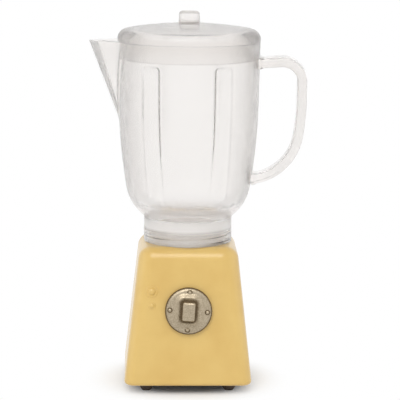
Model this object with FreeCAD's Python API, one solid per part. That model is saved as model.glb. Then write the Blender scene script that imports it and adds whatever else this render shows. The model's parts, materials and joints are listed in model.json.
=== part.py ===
"""Toy blender: a doll's-house miniature with a die-cast base and a clear jug.

Millimetres, +Z up. The origin is on the table, under the jug's axis, midway
between the four feet. The front, with the dial, faces -Y; the jug's handle
points along +X and its spout along -X.
"""

import FreeCAD, Part
import math
import os

from FreeCAD import Placement, Rotation, Vector

# ---------------------------------------------------------------- base
ground_gap = 1.9            # table to the housing's lower edge
base_height = 29.0          # lower edge to top face
base_bottom_width = 27.1    # square plan at the lower edge
base_top_width = 20.7       # square plan at the top face, before rounding
base_wall = 1.3             # side walls, measured level
base_top_thickness = 2.2
corner_radius_bottom = 2.2  # upright corners, at the lower edge
corner_radius_top = 3.6     # upright corners, at the top face
top_edge_radius = 2.8       # between the sides and the top face
lower_edge_radius = 0.7

bump_large_diameter = 1.7   # two cast domes beside the dial
bump_small_diameter = 1.25
bump_rise_share = 0.32      # height of a dome over its diameter
bump_side = -7.75           # X of both domes
bump_large_height = 21.9
bump_small_height = 18.95
bump_large_pad = 2.6        # faint round pad under a dome, across the middle of its slope
bump_small_pad = 1.65
bump_pad_rise = 0.1
bump_pad_slope = 0.25       # how far a pad's side leans in

# ---------------------------------------------------------------- bottom plate and feet
plate_thickness = 1.2
plate_recess = 0.3          # lower edge of the housing to the plate
plate_gap = 0.12            # plate to housing, all round
foot_spacing = 17.6         # between foot centres, both ways
foot_diameter = 3.1
foot_sole_diameter = 1.9    # flat under the dome
foot_shoulder_drop = 0.55   # plate to where the dome starts
foot_stem_diameter = 1.6
foot_stem_length = 2.0      # plate thickness and the barb above it
foot_barb_diameter = 2.0
plate_post_radius = 2.2
plate_post_height = 6.0
plate_post_sink = 0.4       # how far a post is sunk in the side wall at its foot
plate_screw_length = 4.2

# ---------------------------------------------------------------- small screws
screw_diameter = 1.2
screw_head_diameter = 2.2
screw_head_height = 0.7
screw_head_radius = 0.23
screw_slot_width = 0.3
screw_slot_depth = 0.35
screw_hole_gap = 0.1        # clearance round a screw where it passes through

# ---------------------------------------------------------------- dial
dial_height = 17.9          # centre above the table, on the front face
dial_diameter = 9.9
dial_thickness = 1.1
dial_edge_radius = 0.4
dial_rest_turn = -4.0       # degrees about the outward normal
rivet_diameter = 1.05
rivet_circle_diameter = 8.1
rivet_stand_out = 0.3
boss_width = 4.7            # raised pad under the grip
boss_length = 6.4
boss_rise = 0.55
boss_slope = 0.75           # how far the pad's sides lean in
boss_corner_radius = 1.2
boss_top_corner_radius = 0.8
grip_width = 2.65
grip_length = 3.95
grip_rise = 1.5             # above the dial's face
grip_corner_radius = 0.4
grip_edge_radius = 0.25
spindle_diameter = 2.4
spindle_gap = 0.05          # running clearance round the spindle
dial_gap = 0.05             # dial's back to the housing
dial_seat_diameter = 6.0    # thickened wall behind the dial
dial_seat_depth = 0.8
washer_diameter = 5.0
washer_thickness = 0.3
retainer_diameter = 4.6
retainer_thickness = 0.4
spindle_end = 0.5           # spindle beyond the retainer

# ---------------------------------------------------------------- spigot
spigot_diameter = 16.6      # over the thread's crests
spigot_height = 3.3         # above the base's top face
spigot_wall = 1.2
spigot_flange_thickness = 1.0
spigot_hole_gap = 0.1       # spigot to the hole in the base's top
spigot_flange_gap = 0.25    # flange to the housing's inner walls
spigot_screw_spacing = 14.6 # between screw centres, both ways
spigot_screw_bite = 1.5     # screw depth in the base's top

# ---------------------------------------------------------------- jug
neck_diameter = 18.8
neck_wall = 0.85
jug_floor_height = 6.6      # base's top face to the jug's inner floor
jug_floor_thickness = 1.2
jug_wall = 1.2
belly_diameter = 29.8       # where the straight side meets the long curve
belly_height = 30.0         # base's top face to the belly
side_radius = 122.0         # long curve below the belly
bottom_height = 11.7        # base's top face to where the bottom's curve starts
bottom_radius = 9.8
rim_flare = 0.2             # rim beyond the belly, each side
rim_height = 42.8           # base's top face to the rim
jug_rest_turn = -3.0        # degrees about +Z, where the thread stops

flute_azimuth = 31.5        # from the front and from the back, both ways
flute_width = 3.4
flute_depth = 0.5
flute_top_gap = 0.7         # below the lid's skirt
flute_end_height = 10.8     # base's top face to where a flute runs out
flute_top_radius = 0.9

spout_stand_out = 6.3       # tip beyond the belly
spout_half_angle = 39.0     # each side of the V, seen from above
spout_foot_drop = 16.3      # rim to where the V's ridge leaves the wall
spout_wall = 1.15
spout_ridge_radius = 0.3    # outside of the V's ridge
spout_channel_radius = 0.2  # inside of it

handle_stand_out = 10.1     # strap's outer face beyond the belly
handle_thickness = 2.0
handle_depth_top = 6.9      # strap's width at the top run
handle_depth_bottom = 5.0
handle_top_drop = 3.1       # rim to the strap's top face
handle_top_slope = 4.0      # degrees, falling towards the wall
handle_corner_radius = 5.2
handle_bow_radius = 53.0    # faint outward bow between the upright run and the sweep
handle_bow_drop = 11.6      # rim to where the bow starts
handle_sweep_radius = 12.1
handle_sweep_drop = 18.2    # rim to the centre of the lower sweep
handle_edge_radius = 0.3

# ---------------------------------------------------------------- lid
lid_overhang = 0.05         # flange beyond the rim, each side
lid_edge_height = 2.15      # flange's underside to the shoulder
lid_crown = 1.5             # rise from the shoulder to the middle
lid_shoulder_radius = 2.0
lid_wall = 1.15
lid_skirt_depth = 3.8
lid_skirt_wall = 1.05
lid_skirt_gap = 0.15        # skirt to the jug's inner wall
knob_foot_diameter = 4.8
knob_top_diameter = 4.5
knob_height = 2.65
knob_edge_radius = 0.5

# ---------------------------------------------------------------- sizes that follow
rim_diameter = belly_diameter + 2 * rim_flare
spout_reach = belly_diameter / 2 + spout_stand_out
handle_reach = belly_diameter / 2 + handle_stand_out
lid_diameter = rim_diameter + 2 * lid_overhang

base_z = ground_gap
top_z = base_z + base_height
plate_z = base_z + plate_recess
plate_top_z = plate_z + plate_thickness
ceiling_z = top_z - base_top_thickness
rim_z = top_z + rim_height
floor_z = top_z + jug_floor_height
belly_z = top_z + belly_height
bottom_z = top_z + bottom_height
skirt_z = rim_z - lid_skirt_depth

side_slope = (base_bottom_width - base_top_width) / (2 * base_height)
side_tilt = math.degrees(math.atan(side_slope))
OVERCUT = 1.0               # how far a cutting solid passes beyond a face
NEAR = 0.01                 # slack when an edge is picked by its place


def half_width(z, inset=0.0):
    """Half the housing's width at a height, less a level inset."""
    return base_bottom_width / 2 - side_slope * (z - base_z) - inset


def corner_radius(z, inset=0.0):
    """Radius of the housing's upright corners at a height."""
    share = (z - base_z) / base_height
    radius = corner_radius_bottom + share * (corner_radius_top - corner_radius_bottom)
    return radius - inset


def rounded_rectangle(width, length, radius, z=0.0):
    """Closed wire of a rectangle with round corners, centred on the Z axis."""
    x, y = width / 2, length / 2
    edges = []
    for turn, (a, b) in enumerate([(x, y), (y, x), (x, y), (y, x)]):
        side = Part.makeLine(Vector(a, radius - b, z), Vector(a, b - radius, z))
        mid = radius * (1 - math.sqrt(0.5))
        bend = Part.Arc(
            Vector(a, b - radius, z), Vector(a - mid, b - mid, z), Vector(a - radius, b, z)
        ).toShape()
        for edge in (side, bend):
            edge.rotate(Vector(0, 0, 0), Vector(0, 0, 1), 90 * turn)
            edges.append(edge)
    return Part.Wire(edges)


def tapered_block(z_low, z_high, inset, low_extra=0.0):
    """Solid with the housing's taper between two heights, moved in by inset."""
    wires = [
        rounded_rectangle(
            2 * half_width(z, inset), 2 * half_width(z, inset), corner_radius(z, inset), z
        )
        for z in (z_low - low_extra, z_high)
    ]
    return Part.makeLoft(wires, True, True)


def cylinder(diameter, z_low, z_high, x=0.0, y=0.0):
    """Upright cylinder between two heights."""
    return Part.makeCylinder(diameter / 2, z_high - z_low, Vector(x, y, z_low))


def revolved(edges):
    """Solid from a closed outline in the XZ plane, turned about the Z axis."""
    face = Part.Face(Part.Wire(edges))
    return face.revolve(Vector(0, 0, 0), Vector(0, 0, 1), 360)


def polygon_edges(points):
    """Straight edges in the XZ plane through a list of (x, z) points."""
    corners = [Vector(x, 0, z) for x, z in points]
    return [Part.makeLine(a, b) for a, b in zip(corners, corners[1:])]


def edges_near(shape, test):
    """Edges of a shape whose middle passes a test."""
    return [edge for edge in shape.Edges if test(edge.CenterOfMass)]


def four_corners(spacing):
    """Centres of a square pattern, front left first, round to the rear left."""
    half = spacing / 2
    return [(-half, -half), (half, -half), (half, half), (-half, half)]


# ---------------------------------------------------------------- base pieces
def dial_placement(turn=0.0):
    """Frame of the dial: origin on the front face, Z outwards, Y up the face."""
    centre = Vector(0, -half_width(dial_height), dial_height)
    lean = Rotation(Vector(1, 0, 0), 90 - side_tilt)
    spin = Rotation(Vector(0, 0, 1), turn)
    return Placement(centre, lean.multiply(spin))


def make_bump(diameter, pad_diameter, z):
    """Low cast dome on a faint round pad, on the sloping front face."""
    rise = bump_rise_share * diameter
    radius = (rise**2 + (diameter / 2) ** 2) / (2 * rise)
    ball = Part.makeSphere(radius, Vector(0, 0, rise - radius))
    pad = Part.makeCone(
        (pad_diameter + bump_pad_slope) / 2, (pad_diameter - bump_pad_slope) / 2, 2 * bump_pad_rise,
        Vector(0, 0, -bump_pad_rise)
    )
    bump = ball.fuse(pad)
    bump.Placement = Placement(
        Vector(bump_side, -half_width(z), z), Rotation(Vector(1, 0, 0), 90 - side_tilt)
    )
    return bump


def plate_post_places():
    """Centres of the two posts that take the plate's screws, on the side walls."""
    reach = half_width(plate_top_z, base_wall) - plate_post_radius + plate_post_sink
    return [(-reach, 0.0), (reach, 0.0)]


def make_housing():
    """Hollow tapered casting with rounded top edges, open underneath."""
    outer = tapered_block(base_z, top_z, 0.0)
    outer = outer.makeFillet(top_edge_radius, edges_near(outer, lambda p: abs(p.z - top_z) < NEAR))
    outer = outer.makeFillet(lower_edge_radius, edges_near(outer, lambda p: abs(p.z - base_z) < NEAR))
    bumps = [
        make_bump(bump_large_diameter, bump_large_pad, bump_large_height),
        make_bump(bump_small_diameter, bump_small_pad, bump_small_height),
    ]
    cavity = tapered_block(base_z, ceiling_z, base_wall, OVERCUT)
    housing = outer.fuse(bumps).cut(cavity)

    post_top = plate_top_z + plate_post_height
    posts = [cylinder(2 * plate_post_radius, plate_top_z, post_top, x, y)
             for x, y in plate_post_places()]
    seat_reach = base_wall + dial_seat_depth
    seat = Part.makeCylinder(dial_seat_diameter / 2, seat_reach, Vector(0, 0, -seat_reach))
    seat.Placement = dial_placement()
    inside = [piece.common(outer) for piece in posts + [seat]]
    housing = housing.fuse(inside)

    holes = [cylinder(screw_diameter, plate_top_z - OVERCUT, plate_z + plate_screw_length, x, y)
             for x, y in plate_post_places()]
    holes += [cylinder(screw_diameter, ceiling_z - OVERCUT, ceiling_z + spigot_screw_bite, x, y)
              for x, y in four_corners(spigot_screw_spacing)]
    holes.append(cylinder(spigot_diameter + 2 * spigot_hole_gap, ceiling_z - OVERCUT, top_z + OVERCUT))
    spindle_hole = Part.makeCylinder(
        spindle_diameter / 2 + spindle_gap, seat_reach + 2 * OVERCUT,
        Vector(0, 0, -seat_reach - OVERCUT)
    )
    spindle_hole.Placement = dial_placement()
    return housing.cut(holes + [spindle_hole])


def make_plate():
    """Bottom plate, with holes for the foot stems and the two screws."""
    width = 2 * half_width(plate_top_z, base_wall + plate_gap)
    radius = corner_radius(plate_top_z, base_wall + plate_gap)
    outline = Part.Face(rounded_rectangle(width, width, max(radius, plate_gap), plate_z))
    plate = outline.extrude(Vector(0, 0, plate_thickness))
    holes = [cylinder(foot_stem_diameter, plate_z - OVERCUT, plate_top_z + OVERCUT, x, y)
             for x, y in four_corners(foot_spacing)]
    through = screw_diameter + 2 * screw_hole_gap
    sunk = screw_head_diameter + 2 * screw_hole_gap
    for x, y in plate_post_places():
        holes.append(cylinder(through, plate_z - OVERCUT, plate_top_z + OVERCUT, x, y))
        holes.append(cylinder(sunk, plate_z - OVERCUT, plate_z + screw_head_height, x, y))
    return plate.cut(holes)


def make_foot(x, y):
    """Rubber foot: a dome with a flat sole, and a barbed stem through the plate."""
    radius, sole = foot_diameter / 2, foot_sole_diameter / 2
    shoulder = plate_z - foot_shoulder_drop
    stem, barb = foot_stem_diameter / 2, foot_barb_diameter / 2
    tip_z = plate_z + foot_stem_length
    dome = ((radius - sole) ** 2 + shoulder**2) / (2 * (radius - sole))
    half_sweep = math.asin(shoulder / dome) / 2
    middle = Vector(radius - dome + dome * math.cos(half_sweep), 0, shoulder - dome * math.sin(half_sweep))
    bend = Part.Arc(Vector(sole, 0, 0), middle, Vector(radius, 0, shoulder)).toShape()
    edges = [Part.makeLine(Vector(0, 0, 0), Vector(sole, 0, 0)), bend]
    edges += polygon_edges([
        (radius, shoulder), (radius, plate_z), (stem, plate_z), (stem, plate_top_z),
        (barb, plate_top_z), (stem, tip_z), (0, tip_z), (0, 0),
    ])
    foot = revolved(edges)
    foot.translate(Vector(x, y, 0))
    return foot


def make_screw(length):
    """Pan-head screw with a slot, head at the bottom, its seat at z = 0."""
    head = Part.makeCylinder(screw_head_diameter / 2, screw_head_height, Vector(0, 0, -screw_head_height))
    low = edges_near(head, lambda p: abs(p.z + screw_head_height) < NEAR)
    head = head.makeFillet(screw_head_radius, low[:1])
    shank = Part.makeCylinder(screw_diameter / 2, length)
    slot = Part.makeBox(
        screw_head_diameter + 2 * OVERCUT, screw_slot_width, screw_slot_depth + OVERCUT,
        Vector(-screw_head_diameter / 2 - OVERCUT, -screw_slot_width / 2,
               -screw_head_height - OVERCUT)
    )
    return head.fuse(shank).cut(slot)


def screw_group(places, seat_z, length):
    """Several like screws, pointing up, as one compound of separate solids."""
    screws = []
    for x, y in places:
        screw = make_screw(length)
        screw.translate(Vector(x, y, seat_z))
        screws.append(screw)
    return Part.makeCompound(screws)


# ---------------------------------------------------------------- dial pieces
def make_dial():
    """One casting: disc, rivet heads, raised pad, square grip and spindle."""
    face_z = dial_gap + dial_thickness
    disc = Part.makeCylinder(dial_diameter / 2, dial_thickness, Vector(0, 0, dial_gap))
    disc = disc.makeFillet(dial_edge_radius, edges_near(disc, lambda p: abs(p.z - face_z) < NEAR))

    ball = (rivet_stand_out**2 + (rivet_diameter / 2) ** 2) / (2 * rivet_stand_out)
    reach = rivet_circle_diameter / 2
    room = Part.makeBox(
        dial_diameter, dial_diameter, dial_thickness + 2 * rivet_stand_out,
        Vector(-dial_diameter / 2, -dial_diameter / 2, dial_gap)
    )
    rivets = []
    for x, y in ((reach, 0), (0, reach), (-reach, 0), (0, -reach)):
        centre = Vector(x, y, face_z + rivet_stand_out - ball)
        rivets.append(Part.makeSphere(ball, centre).common(room))

    pad = Part.makeLoft([
        rounded_rectangle(boss_width - lean, boss_length - lean, corner, z)
        for lean, corner, z in (
            (0.0, boss_corner_radius, face_z - dial_edge_radius),
            (boss_slope, boss_corner_radius, face_z + boss_rise / 2),
            (2 * boss_slope, boss_top_corner_radius, face_z + boss_rise),
        )
    ], True, True)

    grip = Part.Face(
        rounded_rectangle(grip_width, grip_length, grip_corner_radius, face_z - dial_edge_radius)
    ).extrude(Vector(0, 0, grip_rise + dial_edge_radius))
    grip_top = face_z + grip_rise
    grip = grip.makeFillet(grip_edge_radius, edges_near(grip, lambda p: abs(p.z - grip_top) < NEAR))

    spindle_low = -(base_wall + dial_seat_depth + washer_thickness + retainer_thickness + spindle_end)
    spindle = Part.makeCylinder(
        spindle_diameter / 2, face_z - dial_edge_radius - spindle_low, Vector(0, 0, spindle_low)
    )
    dial = disc.fuse(rivets + [pad, grip, spindle])
    dial.Placement = dial_placement(dial_rest_turn)
    return dial


def dial_ring(diameter, thickness, near_z, hole_gap):
    """Flat ring on the dial's spindle, inside the housing."""
    ring = Part.makeCylinder(diameter / 2, thickness, Vector(0, 0, near_z - thickness))
    hole = Part.makeCylinder(
        spindle_diameter / 2 + hole_gap, thickness + 2 * OVERCUT, Vector(0, 0, near_z - thickness - OVERCUT)
    )
    ring = ring.cut(hole)
    ring.Placement = dial_placement(dial_rest_turn)
    return ring


def make_washer():
    """Spring washer between the housing and the retainer."""
    return dial_ring(washer_diameter, washer_thickness, -(base_wall + dial_seat_depth + dial_gap), spindle_gap)


def make_retainer():
    """Push-on retainer that grips the spindle."""
    near_z = -(base_wall + dial_seat_depth + dial_gap + washer_thickness)
    return dial_ring(retainer_diameter, retainer_thickness, near_z, 0.0)


# ---------------------------------------------------------------- spigot
def make_spigot():
    """Milky threaded cup, closed on top, with a flange under the base's top."""
    crown_z = top_z + spigot_height
    flange_low = ceiling_z - spigot_flange_thickness
    width = 2 * half_width(ceiling_z, base_wall + spigot_flange_gap)
    radius = corner_radius(ceiling_z, base_wall + spigot_flange_gap)
    flange = Part.Face(rounded_rectangle(width, width, radius, flange_low)).extrude(
        Vector(0, 0, spigot_flange_thickness)
    )
    tube = cylinder(spigot_diameter, flange_low, crown_z)
    bore = cylinder(spigot_diameter - 2 * spigot_wall, flange_low - OVERCUT, crown_z - spigot_wall)
    holes = [cylinder(screw_diameter + 2 * screw_hole_gap, flange_low - OVERCUT, ceiling_z + OVERCUT, x, y)
             for x, y in four_corners(spigot_screw_spacing)]
    return flange.fuse(tube).cut([bore] + holes)


# ---------------------------------------------------------------- jug
def on_arc(centre, radius, z):
    """Radius of a bowl's curve at a height."""
    return centre.x + math.sqrt(radius**2 - (centre.z - z) ** 2)


def arc_up(centre, radius, z_low, z_high):
    """Edge of a bowl's curve between two heights."""
    low, high = (math.asin((centre.z - z) / radius) for z in (z_low, z_high))
    middle = (low + high) / 2
    return Part.Arc(
        Vector(on_arc(centre, radius, z_low), 0, z_low),
        centre + Vector(math.cos(middle), 0, -math.sin(middle)) * radius,
        Vector(on_arc(centre, radius, z_high), 0, z_high)
    ).toShape()


def side_lean():
    """Lean of the straight side above the belly."""
    return math.atan(rim_flare / (rim_height - belly_height))


def bowl_centres():
    """Centres of the long curve and of the bottom's curve, and the slope where they meet."""
    side = Vector(
        belly_diameter / 2 - side_radius * math.cos(side_lean()), 0,
        belly_z + side_radius * math.sin(side_lean())
    )
    slope = math.asin((side.z - bottom_z) / side_radius)
    reach = side_radius - bottom_radius
    bottom = side + Vector(reach * math.cos(slope), 0, -reach * math.sin(slope))
    return side, bottom, slope


def bowl_reach(z, inset=0.0):
    """Radius of the bowl below the belly at a height, moved in by inset."""
    side, bottom, slope = bowl_centres()
    if z < bottom.z - (bottom_radius - inset) * math.sin(slope):
        return on_arc(bottom, bottom_radius - inset, z)
    return on_arc(side, side_radius - inset, z)


def bowl_profile(inset, low_z, rim_extra=0.0):
    """Outline of the bowl moved in by inset: round bottom, long curve, leaning side."""
    side, bottom, slope = bowl_centres()
    meet_z = bottom.z - (bottom_radius - inset) * math.sin(slope)
    high_z = rim_z + rim_extra
    low_x = on_arc(bottom, bottom_radius - inset, low_z)
    edges = polygon_edges([(0, low_z), (low_x, low_z)])
    edges.append(arc_up(bottom, bottom_radius - inset, low_z, meet_z))
    return edges + side_above(side, side_radius - inset, meet_z, high_z, low_z)


def side_above(centre, radius, from_z, high_z, low_z):
    """Edges of a long curve, the straight side above it, and back down the axis."""
    curve_top = centre.z - radius * math.sin(side_lean())
    edge_x = on_arc(centre, radius, curve_top)
    high_x = edge_x + math.tan(side_lean()) * (high_z - curve_top)
    return [arc_up(centre, radius, from_z, curve_top)] + polygon_edges([
        (edge_x, curve_top), (high_x, high_z), (0, high_z), (0, low_z),
    ])


def neck_top_z():
    """Height at which the bowl's outline is as wide as the neck."""
    bottom = bowl_centres()[1]
    return bottom.z - math.sqrt(bottom_radius**2 - (neck_diameter / 2 - bottom.x) ** 2)


def flute_core(inset):
    """Solid inside the flutes: the bowl less the flutes' depth, meeting it at their lower end."""
    end_z = top_z + flute_end_height
    start = Vector(belly_diameter / 2 - inset - flute_depth, 0, belly_z)
    chord = Vector(bowl_reach(end_z, inset), 0, end_z) - start
    turn = math.atan2(-chord.x, -chord.z) - side_lean()
    radius = chord.Length / (2 * math.sin(turn))
    centre = start - Vector(math.cos(side_lean()), 0, -math.sin(side_lean())) * radius
    low_z = end_z - OVERCUT
    base = polygon_edges([(0, low_z), (on_arc(centre, radius, low_z), low_z)])
    return revolved(base + side_above(centre, radius, low_z, rim_z, low_z))


def flute_bars():
    """Four upright bars through the wall, at the flutes' places."""
    low_z = top_z + flute_end_height
    height = skirt_z - flute_top_gap - low_z
    bar = Part.makeBox(rim_diameter / 2, flute_width, height, Vector(neck_diameter / 2, -flute_width / 2, low_z))
    top = edges_near(bar, lambda p: abs(p.z - low_z - height) < NEAR and abs(abs(p.y) - flute_width / 2) < NEAR)
    bar = bar.makeFillet(flute_top_radius, top)
    bars = []
    for middle in (-90, 90):
        for side in (-1, 1):
            copy = bar.copy()
            copy.rotate(Vector(0, 0, 0), Vector(0, 0, 1), middle + side * flute_azimuth)
            bars.append(copy)
    return bars


def spout_prism(inset, ridge_radius, rim_extra):
    """Leaning prism of V section with a round ridge: the spout's outside or its channel."""
    half = math.radians(spout_half_angle)
    lean = (spout_reach - belly_diameter / 2) / spout_foot_drop
    sharp = spout_reach + spout_ridge_radius * (1 / math.sin(half) - 1) - inset / math.sin(half)
    centre = Vector(ridge_radius / math.sin(half) - sharp, 0, rim_z)
    root = spout_reach * math.sin(half) ** 2
    spread = (sharp - root) * math.tan(half)
    rear, front = Vector(-root, spread, rim_z), Vector(-root, -spread, rim_z)
    touch_rear = centre + Vector(-math.sin(half), math.cos(half), 0) * ridge_radius
    touch_front = centre + Vector(-math.sin(half), -math.cos(half), 0) * ridge_radius
    ridge = Part.Arc(touch_rear, centre - Vector(ridge_radius, 0, 0), touch_front).toShape()
    section = Part.Face(Part.Wire([
        Part.makeLine(rear, touch_rear), ridge, Part.makeLine(touch_front, front), Part.makeLine(front, rear),
    ]))
    drop = (sharp - belly_diameter / 2 + 2 * jug_wall) / lean
    section.translate(Vector(-lean * rim_extra, 0, rim_extra))
    return section.extrude(Vector(lean, 0, -1) * (drop + rim_extra))


def jug_outside():
    """The jug's outer form without the flutes: neck, bowl and spout."""
    bowl = revolved(bowl_profile(0.0, neck_top_z()))
    spout = spout_prism(0.0, spout_ridge_radius, 0.0)
    neck = cylinder(neck_diameter, top_z, neck_top_z() + jug_wall)
    return bowl.fuse([neck, spout])


def turned_jug(shape):
    """Turn a piece of the jug to where its thread stops."""
    shape.rotate(Vector(0, 0, 0), Vector(0, 0, 1), jug_rest_turn)
    return shape


def make_jug():
    """Clear moulding: fluted bowl, open V spout, and a neck over the spigot."""
    grooves = [bar.cut(flute_core(0.0)) for bar in flute_bars()]
    ribs = [bar.cut(flute_core(jug_wall)) for bar in flute_bars()]
    cavity = revolved(bowl_profile(jug_wall, floor_z, OVERCUT)).cut(ribs)
    channel = spout_prism(spout_wall, spout_channel_radius, OVERCUT)
    socket = cylinder(
        neck_diameter - 2 * neck_wall, top_z - OVERCUT, floor_z - jug_floor_thickness
    )
    return turned_jug(jug_outside().cut(grooves).cut([cavity, channel, socket]))


def handle_outline():
    """Closed face of the strap, seen from the front, running into the wall."""
    slope = math.radians(handle_top_slope)
    corner = Vector(handle_reach - handle_corner_radius, 0, rim_z - handle_top_drop - handle_corner_radius)
    bow = Vector(handle_reach - handle_bow_radius, 0, rim_z - handle_bow_drop)
    apart = handle_bow_radius - handle_sweep_radius
    turn = math.asin((handle_sweep_drop - handle_bow_drop) / apart)
    sweep = bow + Vector(math.cos(turn), 0, -math.sin(turn)) * apart
    bow_end = -math.degrees(turn)

    def around(centre, radius, degrees):
        angle = math.radians(degrees)
        return centre + Vector(radius * math.cos(angle), 0, radius * math.sin(angle))

    def side(inset):
        """Top run, corner, upright, bow and lower sweep at one distance in."""
        bend, bowed, reach = (
            radius - inset for radius in (handle_corner_radius, handle_bow_radius, handle_sweep_radius)
        )
        run_start = around(corner, bend, 90 + handle_top_slope)
        run_length = run_start.x / math.cos(slope)
        inner_end = run_start - Vector(run_length * math.cos(slope), 0, run_length * math.sin(slope))
        return [
            Part.makeLine(inner_end, run_start),
            Part.Arc(run_start, around(corner, bend, 45), around(corner, bend, 0)).toShape(),
            Part.makeLine(around(corner, bend, 0), around(bow, bowed, 0)),
            Part.Arc(around(bow, bowed, 0), around(bow, bowed, bow_end / 2), around(bow, bowed, bow_end)).toShape(),
            Part.Arc(around(sweep, reach, bow_end), around(sweep, reach, -45), around(sweep, reach, -90)).toShape(),
        ]

    outer, inner = side(0.0), side(handle_thickness)
    ends = []
    for index, vertex in ((0, 0), (-1, 1)):
        ends.append(Part.makeLine(outer[index].Vertexes[vertex].Point, inner[index].Vertexes[vertex].Point))
    return Part.Face(Part.Wire(Part.__sortEdges__(outer + inner + ends)))


def make_handle():
    """Flat strap, narrower towards the bottom, welded to the bowl at both ends."""
    high_z, low_z = rim_z, rim_z - handle_sweep_drop - handle_sweep_radius
    wide, narrow = handle_depth_top / 2, handle_depth_bottom / 2
    strap = handle_outline()
    strap.translate(Vector(0, -wide - OVERCUT, 0))
    strap = strap.extrude(Vector(0, 2 * (wide + OVERCUT), 0))
    spread = Part.Face(Part.makePolygon([
        Vector(0, -wide, high_z), Vector(0, wide, high_z),
        Vector(0, narrow, low_z), Vector(0, -narrow, low_z), Vector(0, -wide, high_z),
    ])).extrude(Vector(handle_reach + OVERCUT, 0, 0))
    strap = strap.common(spread)
    long_edges = edges_near(strap, lambda p: abs(p.y) > narrow / 2 and p.x > handle_corner_radius)
    strap = strap.makeFillet(handle_edge_radius, long_edges)
    return turned_jug(strap.cut(jug_outside()))


# ---------------------------------------------------------------- lid
def make_lid():
    """Clear cap: crowned top with a round shoulder, inner skirt and a knob."""
    outer = lid_diameter / 2
    shoulder_z = rim_z + lid_edge_height
    crown_z = shoulder_z + lid_crown
    skirt_outer = rim_diameter / 2 - jug_wall - lid_skirt_gap
    skirt_inner = skirt_outer - lid_skirt_wall
    ball = (outer**2 + lid_crown**2) / (2 * lid_crown)

    def crown(radius, drop=0.0):
        """Point of the crown's arc at a radius, or of its underside."""
        return Vector(radius, 0, crown_z - ball + math.sqrt(ball**2 - radius**2) - drop)

    foot, knob_top = knob_foot_diameter / 2, crown_z + knob_height
    top = Part.Arc(crown(foot), crown((foot + outer) / 2), crown(outer)).toShape()
    under = Part.Arc(
        crown(skirt_inner, lid_wall), crown(skirt_inner / 2, lid_wall), crown(0, lid_wall)
    ).toShape()
    edges = polygon_edges([
        (0, crown_z - lid_wall), (0, knob_top), (knob_top_diameter / 2, knob_top), (foot, crown(foot).z),
    ]) + [top] + polygon_edges([
        (outer, shoulder_z), (outer, rim_z), (skirt_outer, rim_z), (skirt_outer, skirt_z),
        (skirt_inner, skirt_z), (skirt_inner, crown(skirt_inner, lid_wall).z),
    ]) + [under]
    lid = revolved(edges)

    def rings(radius, z):
        """Full circles of the lid at one radius and height."""
        return [
            edge for edge in lid.Edges
            if abs(edge.Length - 2 * math.pi * radius) < NEAR and abs(edge.Vertexes[0].Z - z) < NEAR
        ]

    lid = lid.makeFillet(lid_shoulder_radius, rings(outer, shoulder_z))
    return lid.makeFillet(knob_edge_radius, rings(knob_top_diameter / 2, knob_top))


# ---------------------------------------------------------------- all pieces
def make_pieces():
    """Every node of the blender, by name."""
    pieces = {
        "base_housing": make_housing(),
        "base_plate": make_plate(),
        "plate_screws": screw_group(
            plate_post_places(), plate_z + screw_head_height, plate_screw_length - screw_head_height
        ),
        "dial": make_dial(),
        "dial_washer": make_washer(),
        "dial_retainer": make_retainer(),
        "jug_spigot": make_spigot(),
        "spigot_screws": screw_group(
            four_corners(spigot_screw_spacing), ceiling_z - spigot_flange_thickness,
            spigot_flange_thickness + spigot_screw_bite
        ),
        "jug": make_jug(),
        "jug_handle": make_handle(),
        "lid": make_lid(),
    }
    names = ("foot_front_left", "foot_front_right", "foot_rear_right", "foot_rear_left")
    for name, (x, y) in zip(names, four_corners(foot_spacing)):
        pieces[name] = make_foot(x, y)
    return pieces


os.makedirs("parts", exist_ok=True)
for name, shape in make_pieces().items():
    shape = shape.removeSplitter()
    solids = shape.Solids
    if not solids or not all(solid.isValid() for solid in solids):
        raise ValueError(name + " is not a valid solid")
    shape.exportStep("parts/" + name + ".step")
    box = shape.BoundBox
    print(
        "%-18s %d solid  %8.1f mm3  x %.2f %.2f  y %.2f %.2f  z %.2f %.2f"
        % (name, len(solids), shape.Volume, box.XMin, box.XMax, box.YMin, box.YMax, box.ZMin, box.ZMax)
    )
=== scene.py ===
"""Toy blender, dressed: enamelled base, pewter dial, clear fluted jug, lid and threaded spigot.

Lengths are in metres, in the model's frame: +Z up, front towards -Y, handle towards +X,
spout towards -X. Names that end in _mm hold millimetres.
"""

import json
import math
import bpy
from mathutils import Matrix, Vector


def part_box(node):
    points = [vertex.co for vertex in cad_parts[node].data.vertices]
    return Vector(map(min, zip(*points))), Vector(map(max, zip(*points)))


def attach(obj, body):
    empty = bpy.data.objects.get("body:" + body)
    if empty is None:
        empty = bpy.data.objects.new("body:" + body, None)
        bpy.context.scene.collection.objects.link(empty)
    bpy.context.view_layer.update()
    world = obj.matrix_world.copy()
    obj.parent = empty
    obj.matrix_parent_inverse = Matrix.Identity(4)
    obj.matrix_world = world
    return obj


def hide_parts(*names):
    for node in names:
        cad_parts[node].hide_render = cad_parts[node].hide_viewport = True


bl_info = {
    "name": "Toy Blender",
    "version": (1, 0, 0),
    "blender": (4, 5, 0),
    "location": "View3D > Sidebar > Toy Blender",
    "description": "Builds the finish and the moulded pieces of a doll's-house blender",
    "category": "Object",
}

import bmesh
import bpy
from bpy.props import FloatProperty, FloatVectorProperty, PointerProperty
from mathutils import Matrix, Vector

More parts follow.
